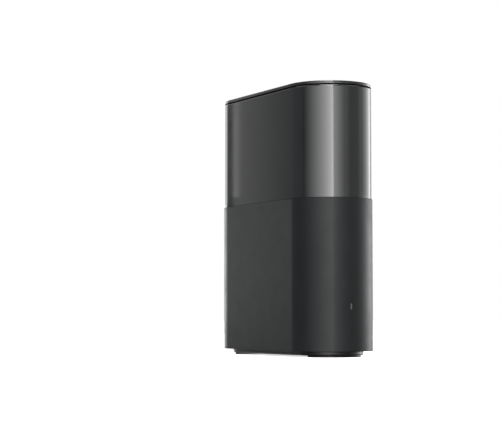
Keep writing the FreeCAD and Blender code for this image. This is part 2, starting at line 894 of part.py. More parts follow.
def board_screw_places():
    """Where the board is screwed to the frame's two rails."""
    heights = ("board_bottom + 12", "board_step + 1", "board_top - 4 + 0.5")
    return [(f"{sign}rail_middle", z) for sign in ("", "-") for z in heights]


def shield_can(name, x, width, height):
    """A thin metal lid over one group of chips, open towards the board."""
    outer = box(
        name + "_outer",
        (width, "can_height", height),
        (x, "board_face - can_height", "can_bottom"),
    )
    inner = box(
        name + "_inner",
        (f"{width} - 2*can_wall", "can_height - can_wall + 1", f"{height} - 2*can_wall"),
        (f"{x} + can_wall", "board_face - can_height + can_wall", "can_bottom + can_wall"),
    )
    return keep(cut(name, outer, [inner]), name)


def chips(name, places):
    """Flat square chips on the board's near face, as one node."""
    pieces = [
        box(f"{name}_{i}", (size, "chip_height", size), (x, "board_face - chip_height", z))
        for i, (x, z, size) in enumerate(places)
    ]
    return keep(pieces[0] if len(pieces) == 1 else group(name, pieces), name)


def make_electronics():
    """Chips, shields, the status light and the light guide."""
    shield_can("processor_shield", "-22", "44", "46")
    shield_can("low_band_shield", "-54", "28", "40")
    shield_can("high_band_shield", "26", "30", "46")
    chips("processor_chip", [("-14", "138", "17")])
    chips("memory_chips", [("8", "138", "11"), ("-14", "122", "12")])
    chips("radio_chips", [("-46", "132", "10"), ("34", "132", "12"), ("36", "150", "7")])
    chips("switch_chip", [("-36", "52", "14")])
    light = box(
        "status_led",
        ("2", "1.4", "3"),
        ("board_front - 2", "board_face - 1.4", "light_height - 1.5"),
    )
    keep(light, "status_led")
    bar = box(
        "guide_bar",
        (
            "body_length/2 - light_gap - guide_elbow_back",
            "light_slot_width - 2*light_gap",
            "light_slot_height - 2*light_gap",
        ),
        (
            "guide_elbow_back",
            "-light_slot_width/2 + light_gap",
            "light_height - light_slot_height/2 + light_gap",
        ),
    )
    elbow = box(
        "guide_elbow",
        (
            "guide_elbow_front - guide_elbow_back",
            "guide_side",
            "light_slot_height - 2*light_gap",
        ),
        ("guide_elbow_back", "0", "light_height - light_slot_height/2 + light_gap"),
    )
    keep(fuse("light_guide", [bar, elbow]), "light_guide")


def finned(name, half_length, base_low, base_thick, fin_low, fin_reach, low, high, first, count):
    """A heat sink: a base plate and a row of upright fins on one side of it."""
    tall = f"({high}) - ({low})"
    parts = [box(name + "_base", (f"2*{half_length}", base_thick, tall), (f"-{half_length}", base_low, low))]
    for i in range(count):
        x = f"-({first}) + {i}*fin_pitch - fin_thick/2"
        parts.append(box(f"{name}_fin_{i}", ("fin_thick", fin_reach, tall), (x, fin_low, low)))
    return fuse(name, parts)


def make_heat_sinks():
    """The finned sink on the shields, the one behind the board, their pads and their screws."""
    pad_low = "board_face - can_height - pad_thick"
    pads = [
        box(f"thermal_pad_{i}", (width, "pad_thick", tall), (x, pad_low, "can_bottom + 3"))
        for i, (x, width, tall) in enumerate((("-18", "36", "40"), ("-51", "22", "34"), ("29", "24", "40")))
    ]
    keep(group("thermal_pads", pads), "thermal_pads")
    base_low = f"{pad_low} - sink_base"
    near = finned(
        "finned_heatsink",
        "sink_half_length",
        base_low,
        "sink_base",
        "-sink_reach",
        f"sink_reach + ({base_low})",
        "sink_bottom",
        "sink_top",
        f"{END_FIN_COUNT}*fin_pitch",
        2 * END_FIN_COUNT + 1,
    )
    keep(near, "finned_heatsink")
    back_pad = box(
        "rear_thermal_pad",
        ("60", "pad_thick", "60"),
        ("-30", "board_face + board_thick", "can_bottom"),
    )
    keep(back_pad, "rear_thermal_pad")
    plate_low = "board_face + board_thick + pad_thick"
    far = finned(
        "rear_heatsink",
        "spreader_half_length",
        plate_low,
        "spreader_base",
        f"{plate_low} + spreader_base",
        f"spreader_reach - ({plate_low}) - spreader_base",
        "spreader_bottom",
        "spreader_top",
        f"{SPREADER_FIN_COUNT}*fin_pitch - fin_pitch/2",
        2 * SPREADER_FIN_COUNT,
    )
    keep(far, "rear_heatsink")


# ---------------------------------------------------------------- inner frame


def make_inner_frame():
    """The chassis: two decks joined by rails, with hangers for the aerials and bosses for the screws."""
    deck = "frame_deck_bottom + frame_deck_thick"
    lower = stadium_block("frame_lower_deck", inset("frame_deck_inset"), "frame_deck_bottom", deck)
    upper = stadium_block(
        "frame_upper_deck", inset("top_deck_inset"), "top_deck_bottom", "top_deck_bottom + frame_deck_thick"
    )
    rails = [
        box(
            f"frame_rail_{side}",
            ("rail_width", "rail_back - board_face - board_thick", f"top_deck_bottom - ({deck})"),
            (f"{sign}rail_middle - rail_width/2", "board_face + board_thick", deck),
        )
        for side, sign in (("front", ""), ("rear", "-"))
    ]
    tall = "top_deck_bottom - hanger_bottom"
    hangers = [
        box("hanger_front", ("hanger_thick", "hanger_width", tall), ("hanger_end", "-hanger_width/2", "hanger_bottom")),
        box(
            "hanger_rear",
            ("hanger_thick", "hanger_width", tall),
            ("-hanger_end - hanger_thick", "-hanger_width/2", "hanger_bottom"),
        ),
        box(
            "hanger_left",
            ("hanger_width", "hanger_thick", tall),
            ("-hanger_width/2", "hanger_side", "hanger_bottom"),
        ),
        box(
            "hanger_right",
            ("hanger_width", "hanger_thick", tall),
            ("-hanger_width/2", "-hanger_side - hanger_thick", "hanger_bottom"),
        ),
    ]
    low_bosses = [
        rod(f"frame_low_boss_{i}", "frame_boss", f"frame_boss_top - ({deck})", (x, y, deck))
        for i, (x, y) in enumerate(corners_of("base_screw_reach", "base_screw_side"))
    ]
    high_bosses = [
        rod(
            f"frame_high_boss_{i}",
            "frame_boss",
            "upper_ledge + ledge_thick - top_deck_bottom - frame_deck_thick",
            (x, y, "top_deck_bottom + frame_deck_thick"),
        )
        for i, (x, y) in enumerate(corners_of("top_boss_reach", "top_boss_side"))
    ]
    solid = fuse("frame_solid", [lower, upper, *rails, *hangers, *low_bosses, *high_bosses])
    windows = [
        box(
            "frame_low_window",
            ("frame_window_length", "frame_window_width", "frame_deck_thick + 2"),
            ("-frame_window_length/2", "-frame_window_width + board_face", "frame_deck_bottom - 1"),
        ),
        box(
            "frame_high_window",
            ("frame_window_length", "frame_window_width - 4", "frame_deck_thick + 2"),
            ("-frame_window_length/2", "-frame_window_width + board_face + 4", "top_deck_bottom - 1"),
        ),
    ]
    low_holes = [
        rod(f"frame_low_hole_{i}", "screw_hole", "frame_boss_top - frame_deck_bottom", (x, y, "frame_deck_bottom - 1"))
        for i, (x, y) in enumerate(corners_of("base_screw_reach", "base_screw_side"))
    ]
    high_holes = [
        rod(f"frame_high_hole_{i}", "screw_hole", "7", (x, y, "top_deck_bottom"))
        for i, (x, y) in enumerate(corners_of("top_boss_reach", "top_boss_side"))
    ]
    rail_holes = [
        rod(f"rail_hole_{i}", "screw_hole", "board_screw_length", (x, "board_face", z), "Y")
        for i, (x, z) in enumerate(board_screw_places())
    ]
    frame = cut("inner_frame", solid, [*windows, *low_holes, *high_holes, *rail_holes])
    keep(frame, "inner_frame")


def corners_of(x, y):
    """The four corners of a rectangle centred on the origin, as formulas."""
    return [(f"{a}{x}", f"{b}({y})") for a in ("", "-") for b in ("", "-")]


# ---------------------------------------------------------------- aerials and leads


def make_aerials():
    """Four flat aerials on the frame's hangers, one facing each way."""
    tall = "aerial_top - aerial_bottom"
    half = "-aerial_width/2"
    outer_end = "hanger_end + hanger_thick"
    outer_side = "hanger_side + hanger_thick"
    across = ("aerial_thick", "aerial_width", tall)
    along = ("aerial_width", "aerial_thick", tall)
    keep(box("aerial_front", across, (outer_end, half, "aerial_bottom")), "aerial_front")
    keep(box("aerial_rear", across, (f"-({outer_end}) - aerial_thick", half, "aerial_bottom")), "aerial_rear")
    keep(box("aerial_left", along, (half, outer_side, "aerial_bottom")), "aerial_left")
    keep(box("aerial_right", along, (half, f"-({outer_side}) - aerial_thick", "aerial_bottom")), "aerial_right")


LEAD_ROUTES = {
    "lead_front": [(74.4, 0, 124), (74.4, 0, 112), (70, -1, 104), (62, -1, 104), (62, 5, 104)],
    "lead_rear": [(-74.4, 0, 124), (-74.4, 0, 112), (-70, -1, 104), (-62, -1, 104), (-62, 5, 104)],
    "lead_right": [(0, -26.4, 124), (0, -26.4, 112), (6, -20, 104), (24, -8, 104), (24, 5, 104)],
    "lead_left": [(0, 26.4, 124), (0, 26.4, 112), (12, 26.4, 104), (56, 24, 104), (56, 10.6, 104)],
}


def make_lead(name, route):
    """A thin coaxial lead along a route of straight runs joined by tangent arcs."""
    points = [Vector(*p) for p in route]
    edges = []
    here = points[0]
    radii = []
    for before, corner, after in zip(points, points[1:], points[2:]):
        inward = (before - corner).normalize()
        outward = (after - corner).normalize()
        turn = math.pi - inward.getAngle(outward)
        reach = SWEEP_SHARE * min((corner - before).Length, (after - corner).Length)
        radii.append(reach / math.tan(turn / 2))
        start, finish = corner + inward * reach, corner + outward * reach
        bisector = (inward + outward).normalize()
        centre = corner + bisector * (radii[-1] / math.cos(turn / 2))
        middle = centre - bisector * radii[-1]
        edges += [Part.LineSegment(here, start).toShape(), Part.Arc(start, middle, finish).toShape()]
        here = finish
    edges.append(Part.LineSegment(here, points[-1]).toShape())
    path = Part.Wire(edges)
    radius = DIMENSIONS["lead_diameter"] / 2
    ring = Part.Wire([Part.Circle(points[0], points[1] - points[0], radius).toShape()])
    tube = path.makePipeShell([ring], True, False)
    ideal = math.pi * radius**2 * path.Length
    print(name, "radii", [round(r, 1) for r in radii], "volume share", round(tube.Volume / ideal, 4))
    piece = doc.addObject("Part::Feature", name)
    piece.Shape = tube
    return keep(piece, name)


def make_leads():
    """The aerials' leads and the small round plugs that they end in on the board."""
    for name, route in LEAD_ROUTES.items():
        make_lead(name, route)
    near = [
        rod(f"lead_plug_{i}", "plug_diameter", "plug_height", (x, "board_face - plug_height", "plug_line"), "Y")
        for i, x in enumerate(("62", "-62", "24"))
    ]
    far = rod("lead_plug_far", "plug_diameter", "plug_height", ("56", "board_face + board_thick", "plug_line"), "Y")
    keep(group("lead_plugs", [*near, far]), "lead_plugs")


# ---------------------------------------------------------------- screws


def screw(name, place, axis, length, head_first=True):
    """A pan-head screw: its shank runs along the axis from under the head."""
    shift = {"Y": 1, "Z": 2}[axis]
    head_place = list(place)
    if head_first:
        head_place[shift] = f"{place[shift]} - screw_head_height"
    head = rod(name + "_head", "screw_head", "screw_head_height", head_place, axis)
    shank_place = list(place)
    if not head_first:
        shank_place[shift] = f"{place[shift]} - ({length})"
    shank = rod(name + "_shank", "screw_shank", length, shank_place, axis)
    return fuse(name, [head, shank])


def make_screws():
    """Every screw, each kind in one node."""
    under_head = "plinth_bottom + foot_pocket + screw_head_height + 0.5"
    base = [
        screw(f"base_screw_{i}", (x, y, under_head), "Z", "base_screw_length")
        for i, (x, y) in enumerate(corners_of("base_screw_reach", "base_screw_side"))
    ]
    keep(group("base_screws", base), "base_screws")
    board = [
        screw(f"board_screw_{i}", (x, "board_face - 0.02", z), "Y", "board_screw_length - 0.4")
        for i, (x, z) in enumerate(board_screw_places())
    ]
    keep(group("board_screws", board), "board_screws")
    deck = "upper_ledge + ledge_thick + vent_deck_thick + 0.02"
    ring = [
        screw(f"ring_screw_{i}", (x, y, deck), "Z", "frame_screw_length", head_first=False)
        for i, (x, y) in enumerate(corners_of("top_boss_reach", "top_boss_side"))
    ]
    keep(group("vent_ring_screws", ring), "vent_ring_screws")


# ---------------------------------------------------------------- build and write


def check_and_write():
    """Stops on any failed object or broken shape, then writes one file per node."""
    doc.recompute()
    for thing in doc.Objects:
        if {"Invalid", "Error"} & set(thing.State):
            raise RuntimeError(f"{thing.Name} failed: {thing.State}")
    os.makedirs("parts", exist_ok=True)
    for name in os.listdir("parts"):
        if name.endswith(".step"):
            os.remove(os.path.join("parts", name))
    for piece in nodes:
        shape = piece.Shape
        if shape.isNull() or not shape.isValid() or not shape.Solids:
            raise RuntimeError(f"{piece.Label} has no valid solid")
        shape.exportStep(os.path.join("parts", f"{piece.Label}.step"))
        print(f"{piece.Label}: {len(shape.Solids)} solids, {shape.Volume / 1000:.2f} cm3")


def main():
    """Builds every piece, outside first."""
    make_lower_shell()
    make_upper_shell()
    make_vent_ring()
    make_top_cover()
    make_feet(make_base_plate())
    make_port_bezel()
    make_network_jacks()
    make_power_inlet()
    make_button()
    make_board()
    make_electronics()
    make_heat_sinks()
    make_inner_frame()
    make_aerials()
    make_leads()
    make_screws()
    check_and_write()


main()
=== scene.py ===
"""A mesh wifi node: its outer pieces remodelled finely, every piece finished, in a soft studio light."""

import logging
import math
from collections.abc import Callable
from dataclasses import dataclass
from enum import Enum
from typing import Self
import bpy
from mathutils import Euler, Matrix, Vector


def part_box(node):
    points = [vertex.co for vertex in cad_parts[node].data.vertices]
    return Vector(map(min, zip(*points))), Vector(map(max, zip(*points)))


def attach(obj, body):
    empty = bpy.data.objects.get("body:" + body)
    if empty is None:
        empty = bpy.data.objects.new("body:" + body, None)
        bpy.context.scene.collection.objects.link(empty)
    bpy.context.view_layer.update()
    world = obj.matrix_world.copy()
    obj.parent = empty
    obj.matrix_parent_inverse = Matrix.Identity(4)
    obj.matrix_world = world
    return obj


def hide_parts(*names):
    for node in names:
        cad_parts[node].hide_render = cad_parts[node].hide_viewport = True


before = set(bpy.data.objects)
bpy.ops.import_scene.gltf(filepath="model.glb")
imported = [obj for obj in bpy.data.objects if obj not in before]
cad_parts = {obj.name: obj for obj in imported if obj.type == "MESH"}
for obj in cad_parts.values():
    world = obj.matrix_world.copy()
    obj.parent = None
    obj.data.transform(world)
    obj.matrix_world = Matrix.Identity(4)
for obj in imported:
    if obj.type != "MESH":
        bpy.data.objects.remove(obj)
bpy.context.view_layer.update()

LOG = logging.getLogger("mesh_node")
MM = 0.001
OUTLINE_SIDES = 192
# How far a cutting tool stands out of a wall, and how deep it goes in behind the wall's face.
TOOL_BEYOND = 2 * MM
TOOL_REACH = 8 * MM
# The share of half its width by which a slot's end is rounded.
FULL_ROUND = 0.98
# How far touching shapes overlap, and how close to a mouth its edges lie.
LAP = 0.1 * MM
# The middles of the body's two round ends, and the rear end of its flat side.
FRONT = (53 * MM, 0.0)
REAR = (-53 * MM, 0.0)
REAR_EDGE = (-53 * MM, -33 * MM)
# The sizes of the blotches in a finish's tone and gloss.
CLOUD = 30 * MM
PATCH = 12 * MM

Colour = tuple[float, float, float]
PointTest = Callable[[Vector], bool]
EdgeTest = Callable[[Vector, Vector], bool]
FaceTest = Callable[[Vector, Vector], bool]
Socket = bpy.types.NodeSocket


class Element(Enum):
    """What the modelling tools act on."""

    POINT = "VERT"
    EDGE = "EDGE"
    FACE = "FACE"


class Fall(Enum):
    """How a light panel's brightness runs across its width, seen from the object."""

    EVEN = "even"
    TO_RIGHT = "brighter to the right"
    TO_LEFT = "brighter to the left"


def xyz(x: float, y: float, z: float) -> Vector:
    """A point or a direction."""
    return Vector((x, y, z))


# ---- modelling by hand


class Workpiece:
    """One mesh on the bench, shaped with the modelling tools."""

    def __init__(self, thing: bpy.types.Object, name: str) -> None:
        """Takes a new primitive on and names it.

        Args:
            thing: the mesh object.
            name: the piece's name.
        """
        self.thing = thing
        self.name = name
        thing.name = name
        thing.data.name = name

    @staticmethod
    def clear_bench() -> None:
        """Leaves edit mode and selects nothing."""
        active = bpy.context.view_layer.objects.active
        if active is not None and active.mode != "OBJECT":
            bpy.ops.object.mode_set(mode="OBJECT")
        bpy.ops.object.select_all(action="DESELECT")

    def take_up(self) -> None:
        """Makes this the one piece that is selected and active."""
        self.clear_bench()
        self.thing.select_set(True)
        bpy.context.view_layer.objects.active = self.thing

    @classmethod
    def block(cls, name: str, low: Vector, high: Vector) -> Self:
        """Starts a piece from a cube stretched between two corners.

        Args:
            name: the piece's name.
            low: the lowest corner.
            high: the highest corner.

        Returns:
            The new piece, with its place in its mesh.
        """
        cls.clear_bench()
        bpy.ops.mesh.primitive_cube_add(size=1.0, location=(low + high) / 2)
        bpy.context.active_object.scale = high - low
        return cls(bpy.context.active_object, name).settle()

    @classmethod
    def drum(
        cls,
        name: str,
        radius: float,
        start: Vector,
        end: Vector,
        sides: int = 96,
        end_radius: float | None = None,
        fill: str = "NGON",
    ) -> Self:
        """Starts a piece from a cylinder or cone between two points.

        Args:
            name: the piece's name.
            radius: the radius at the start.
            start: the middle of the first end.
            end: the middle of the other end.
            sides: how many sides go round it.
            end_radius: the radius at the other end, or None for the same.
            fill: how the ends are closed.

        Returns:
            The new piece, with its place in its mesh.
        """
        cls.clear_bench()
        along = end - start
        turn = along.to_track_quat("Z", "Y").to_euler()
        bpy.ops.mesh.primitive_cone_add(
            vertices=sides,
            radius1=radius,
            radius2=radius if end_radius is None else end_radius,
            depth=along.length,
            end_fill_type=fill,
            location=(start + end) / 2,
            rotation=turn,
        )
        return cls(bpy.context.active_object, name).settle()

    def settle(self) -> Self:
        """Moves the object's place, turn and scale into its mesh."""
        self.take_up()
        bpy.ops.object.transform_apply(location=True, rotation=True, scale=True)
        return self

    def pick(self, kind: Element, test: Callable[..., bool]) -> int:
        """Selects the elements that a test accepts, and leaves the piece in edit mode.

        Args:
            kind: points, edges or faces.
            test: takes a point; an edge's two ends; or a face's middle and normal.

        Returns:
            How many were selected.
        """
        self.take_up()
        bpy.ops.object.mode_set(mode="EDIT")
        bpy.ops.mesh.select_mode(type=kind.value)
        bpy.ops.mesh.select_all(action="DESELECT")
        bpy.ops.object.mode_set(mode="OBJECT")
        mesh = self.thing.data
        points = mesh.vertices
        if kind is Element.POINT:
            chosen = [p for p in points if test(p.co)]
        elif kind is Element.EDGE:
            chosen = [e for e in mesh.edges if test(*(points[i].co for i in e.vertices))]
        else:
            chosen = [f for f in mesh.polygons if test(f.center, f.normal)]
        for element in chosen:
            element.select = True
        bpy.ops.object.mode_set(mode="EDIT")
        return len(chosen)

    def pick_all(self) -> None:
        """Selects every face, and leaves the piece in edit mode."""
        self.pick(Element.FACE, lambda middle, facing: True)

    def shift(self, test: PointTest, by: Vector) -> Self:
        """Moves the points that a test accepts."""
        self.pick(Element.POINT, test)
        bpy.ops.transform.translate(value=by)
        return self

    def round_edges(self, test: EdgeTest, size: float, steps: int = 4) -> Self:
        """Bevels the edges that a test accepts.

        Args:
            test: takes an edge's two ends.
            size: the bevel's reach on each face, in metres.
            steps: segments across the bevel.

        Returns:
            The piece itself.
        """
        if not self.pick(Element.EDGE, test):
            raise ValueError(f"{self.name}: no edge to round")
        bpy.ops.mesh.bevel(
            offset=size, offset_type="OFFSET", segments=steps, profile=0.5, affect="EDGES", clamp_overlap=True
        )
        return self

    def step_in(self, test: FaceTest, inwards: float, depth: float) -> Self:
        """Insets the faces that a test accepts and sinks (or with a plus sign, raises) them.

        Args:
            test: takes a face's middle and normal.
            inwards: how far the outline draws in.
            depth: how far the faces move along their normal.

        Returns:
            The piece itself.
        """
        if not self.pick(Element.FACE, test):
            raise ValueError(f"{self.name}: no face to inset")
        return self.again_in(inwards, depth)

    def again_in(self, inwards: float, depth: float) -> Self:
        """Insets what is still selected once more."""
        bpy.ops.mesh.inset(thickness=inwards, depth=depth, use_even_offset=True)
        return self

    def pull(self, by: Vector) -> Self:
        """Extrudes what is selected."""
        bpy.ops.mesh.extrude_region_move(TRANSFORM_OT_translate={"value": by})
        return self

    def slice_off(self, point: Vector, normal: Vector) -> Self:
        """Cuts the piece with a plane, drops what lies on the normal's side and closes the cut."""
        self.pick_all()
        bpy.ops.mesh.bisect(plane_co=point, plane_no=normal, use_fill=True, clear_outer=True)
        return self

    def _apply(self, kind: str, **settings: object) -> Self:
        """Adds a modifier, sets it up and applies it."""
        self.take_up()
        modifier = self.thing.modifiers.new(kind.lower(), kind)
        for name, value in settings.items():
            setattr(modifier, name, value)
        bpy.ops.object.modifier_apply(modifier=modifier.name)
        return self

    def thicken(self, wall: float) -> Self:
        """Gives an open skin a wall on its inner side."""
        return self._apply("SOLIDIFY", thickness=wall, offset=-1.0, use_even_offset=True, use_rim=True)

    def row(self, count: int, by: Vector) -> Self:
        """Repeats the piece in a row within its own mesh."""
        return self._apply(
            "ARRAY",
            count=count,
            use_relative_offset=False,
            use_constant_offset=True,
            constant_offset_displace=by,
        )

    def carve(self, *tools: Self) -> Self:
        """Takes each tool away from the piece, and the tool off the bench."""
        for tool in tools:
            self._apply("BOOLEAN", object=tool.thing, operation="DIFFERENCE", solver="EXACT")
            bpy.data.objects.remove(tool.thing)
        return self

    def join(self, *others: Self) -> Self:
        """Makes other pieces part of this one."""
        self.take_up()
        for other in others:
            other.thing.select_set(True)
        bpy.ops.object.join()
        return self

    def copy(self, name: str, by: Vector) -> Self:
        """Copies the piece with a mesh of its own.

        Args:
            name: the copy's name.
            by: how far it moves.

        Returns:
            The copy.
        """
        self.take_up()
        bpy.ops.object.duplicate(linked=False)
        twin = Workpiece(bpy.context.active_object, name)
        twin.thing.location = by
        return twin.settle()

    def polish(self, angle: float = 32.0) -> Self:
        """Closes seams, shades the curves smooth and keeps the flats flat."""
        self.pick_all()
        bpy.ops.mesh.remove_doubles(threshold=1e-6)
        self.take_up()
        bpy.ops.object.shade_smooth_by_angle(angle=math.radians(angle))
        self._apply("WEIGHTED_NORMAL", mode="FACE_AREA", weight=100, keep_sharp=True)
        self.clear_bench()
        return self

    def hand_over(self, body: str, slot: str, finish: bpy.types.Material, *stands_for: str) -> None:
        """Dresses the finished piece and fixes it to its body.

        Args:
            body: the CAD body that it moves with.
            slot: the record's material slot; not used.
            finish: its material.
            stands_for: the CAD nodes that it replaces.
        """
        self.clear_bench()
        self.thing.data.materials.clear()
        self.thing.data.materials.append(finish)
        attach(self.thing, body)
        if stands_for:
            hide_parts(*stands_for)
        LOG.info("%s: %d faces", self.name, len(self.thing.data.polygons))


def near(a: float, b: float, slack: float = 2e-5) -> bool:
    """Whether two lengths agree to a fiftieth of a millimetre."""
    return abs(a - b) < slack


def level(height: float) -> EdgeTest:
    """A test for edges that lie at one height."""
    return lambda a, b: near(a.z, height) and near(b.z, height)


def standing(place: float) -> EdgeTest:
    """A test for edges that lie at one place along X."""
    return lambda a, b: near(a.x, place) and near(b.x, place)


def lengthwise(a: Vector, b: Vector) -> bool:
    """Whether an edge runs along X."""
    return near(a.y, b.y) and near(a.z, b.z)


@dataclass(frozen=True)
class Outline:
    """A plan of two straight sides and two half-round ends."""

    straight: float
    radius: float

    def inside(self, by: float) -> "Outline":
        """The outline that lies this far further in."""
        return Outline(self.straight, self.radius - by)

    def reach(self, point: Vector) -> float:
        """How far a point stands from the outline's spine."""
        return math.hypot(max(abs(point.x) - self.straight, 0.0), point.y)

    def on(self, point: Vector, slack: float = 5e-5) -> bool:
        """Whether a point stands on the outline."""
        return abs(self.reach(point) - self.radius) < slack

    def rim(self, height: float) -> EdgeTest:
        """A test for the outline's own edges at one height."""
        return lambda a, b: level(height)(a, b) and self.on(a) and self.on(b)

    def extrude(self, name: str, low: float, high: float, fill: str = "NGON") -> Workpiece:
        """A drum drawn out into this outline.

        Args:
            name: the piece's name.
            low: the height of its bottom.
            high: the height of its top.
            fill: how the ends are closed.

        Returns:
            The new piece.
        """
        work = Workpiece.drum(
            name, self.radius, xyz(0, 0, low), xyz(0, 0, high), OUTLINE_SIDES, fill=fill
        )
        work.thing.rotation_euler.z = math.pi / OUTLINE_SIDES
        work.settle()
        work.shift(lambda p: p.x > 0, xyz(self.straight, 0, 0))
        return work.shift(lambda p: p.x < 0, xyz(-self.straight, 0, 0))


def node_outline(node: str) -> Outline:
    """The outline of a CAD node whose plan has half-round ends."""
    low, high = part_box(node)
    radius = (high.y - low.y) / 2
    return Outline((high.x - low.x) / 2 - radius, radius)


# ---- finishes


class NodeSheet:
    """A material's node tree, with short calls for the nodes that the finishes use."""

    def __init__(self, name: str) -> None:
        """Starts a material with its principled shader."""
        self.material = bpy.data.materials.new(name)
        self.material.use_nodes = True
        self.tree = self.material.node_tree
        self.shader = next(n for n in self.tree.nodes if n.type == "BSDF_PRINCIPLED")
        self.place = self.tree.nodes.new("ShaderNodeTexCoord").outputs["Object"]

    def add(self, kind: str, **settings: object) -> bpy.types.Node:
        """Adds a node and sets its options."""
        node = self.tree.nodes.new(kind)
        for name, value in settings.items():
            setattr(node, name, value)
        return node

    def wire(self, source: Socket, target: Socket) -> None:
        """Links two sockets."""
        self.tree.links.new(source, target)

    def noise(self, size: float, detail: float = 2.0, stretch: Colour = (1, 1, 1)) -> Socket:
        """Noise whose spots are about this size.

        Args:
            size: the spots' size in metres.
            detail: how many finer layers it has.
            stretch: how much each axis is squeezed.

        Returns:
            The noise's value, about 0.5 in the middle.
        """
        mapping = self.add("ShaderNodeMapping")
        mapping.inputs["Scale"].default_value = stretch
        self.wire(self.place, mapping.inputs["Vector"])
        noise = self.add("ShaderNodeTexNoise")
        noise.inputs["Scale"].default_value = 1.0 / size
        noise.inputs["Detail"].default_value = detail
        self.wire(mapping.outputs["Vector"], noise.inputs["Vector"])
        return noise.outputs["Fac"]

    def spread(
        self, source: Socket, low: float, high: float, start: float = 0.3, end: float = 0.7
    ) -> Socket:
        """Maps a value from one range to another.

        Args:
            source: the value.
            low: what start becomes.
            high: what end becomes.
            start: the lower end of the value's range, 0.3 for noise.
            end: the upper end of the value's range, 0.7 for noise.

        Returns:
            The mapped value.
        """
        ranged = self.add("ShaderNodeMapRange")
        bounds = {"From Min": start, "From Max": end, "To Min": low, "To Max": high}
        for name, value in bounds.items():
            ranged.inputs[name].default_value = value
        self.wire(source, ranged.inputs["Value"])
        return ranged.outputs["Result"]

    def fix(self, socket: str, value: float | tuple[float, ...]) -> None:
        """Sets one of the shader's own sockets to a constant."""
        self.shader.inputs[socket].default_value = value

    def axis(self, vector: Socket, name: str) -> Socket:
        """One coordinate of a vector."""
        parts = self.add("ShaderNodeSeparateXYZ")
        self.wire(vector, parts.inputs["Vector"])
        return parts.outputs[name]

    def reckon(self, source: Socket, operation: str, other: float = 0.0) -> Socket:
        """One step of arithmetic on a value."""
        step = self.add("ShaderNodeMath", operation=operation)
        step.inputs[1].default_value = other
        self.wire(source, step.inputs[0])
        return step.outputs["Value"]

    def paint(self, share: Socket, first: Colour, second: Colour) -> None:
        """Colours the piece with two tones, the second where the share is 1."""
        mix = self.add("ShaderNodeMix", data_type="RGBA")
        mix.inputs["A"].default_value = (*first, 1)
        mix.inputs["B"].default_value = (*second, 1)
        self.wire(share, mix.inputs["Factor"])
        self.wire(mix.outputs["Result"], self.shader.inputs["Base Color"])

    def tint(self, source: Socket, dark: Colour, light: Colour) -> None:
        """Colours the piece between two tones by a value that runs from 0.3 to 0.7, as noise does."""
        self.paint(self.spread(source, 0, 1), dark, light)

    def roughen(self, source: Socket) -> None:
        """Takes the roughness from a value."""
        self.wire(source, self.shader.inputs["Roughness"])

    def emboss(self, source: Socket, height: float, strength: float = 1.0) -> None:
        """Raises the surface a little by a value.

        Args:
            source: the value.
            height: how high 1 stands, in metres.
            strength: how much of it shows.
        """
        bump = self.add("ShaderNodeBump")
        bump.inputs["Strength"].default_value = strength
        bump.inputs["Distance"].default_value = height
        self.wire(source, bump.inputs["Height"])
        self.wire(bump.outputs["Normal"], self.shader.inputs["Normal"])


def scaled(colour: Colour, by: float) -> Colour:
    """A colour made lighter or darker."""
    return tuple(min(1.0, c * by) for c in colour)


@dataclass(frozen=True)
class Finish:
    """What every finish has: a name, and nodes that it lays out on a sheet."""

    name: str

    def material(self) -> bpy.types.Material:
        """The finish as a node material."""
        sheet = NodeSheet(self.name)
        self.lay_out(sheet)
        return sheet.material

    def lay_out(self, sheet: NodeSheet) -> None:
        """Adds the finish's nodes to the sheet."""
        raise NotImplementedError


@dataclass(frozen=True)
class Moulding(Finish):
    """Moulded plastic or rubber: a little uneven in tone, gloss and surface."""

    colour: Colour
    roughness: float
    grain: float = 0.3 * MM
    grain_height: float = 0.012 * MM
    unevenness: float = 0.10
    roughness_play: float = 0.04
    coat: float = 0.0
    coat_roughness: float = 0.05
    specular: float = 0.5

    def lay_out(self, sheet: NodeSheet) -> None:
        """Adds the finish's nodes to the sheet."""
        cloud = sheet.noise(CLOUD, 3.0)
        sheet.tint(cloud, scaled(self.colour, 1 - self.unevenness), scaled(self.colour, 1 + self.unevenness))
        play = self.roughness_play
        sheet.roughen(sheet.spread(sheet.noise(PATCH, 4.0), self.roughness - play, self.roughness + play))
        sheet.fix("Coat Weight", self.coat)
        sheet.fix("Coat Roughness", self.coat_roughness)
        sheet.fix("Specular IOR Level", self.specular)
        sheet.emboss(sheet.noise(self.grain, 2.0), self.grain_height)


@dataclass(frozen=True)
class PolishedRim(Finish):
    """A moulded plate with a fine matt texture on its level faces and a polished rim round them."""

    colour: Colour
    rim_roughness: float
    face_roughness: float
    specular: float = 0.42
    face_from: float = 0.72
    face_full: float = 0.97
    grain: float = 0.4 * MM
    grain_height: float = 0.008 * MM

    def lay_out(self, sheet: NodeSheet) -> None:
        """Adds the finish's nodes to the sheet."""
        sheet.tint(sheet.noise(CLOUD, 3.0), scaled(self.colour, 0.92), scaled(self.colour, 1.08))
        upwards = sheet.axis(sheet.add("ShaderNodeNewGeometry").outputs["Normal"], "Z")
        level_share = sheet.reckon(upwards, "ABSOLUTE")
        sheet.roughen(
            sheet.spread(level_share, self.rim_roughness, self.face_roughness, self.face_from, self.face_full)
        )
        sheet.fix("Specular IOR Level", self.specular)
        sheet.emboss(sheet.noise(self.grain, 2.0), self.grain_height)


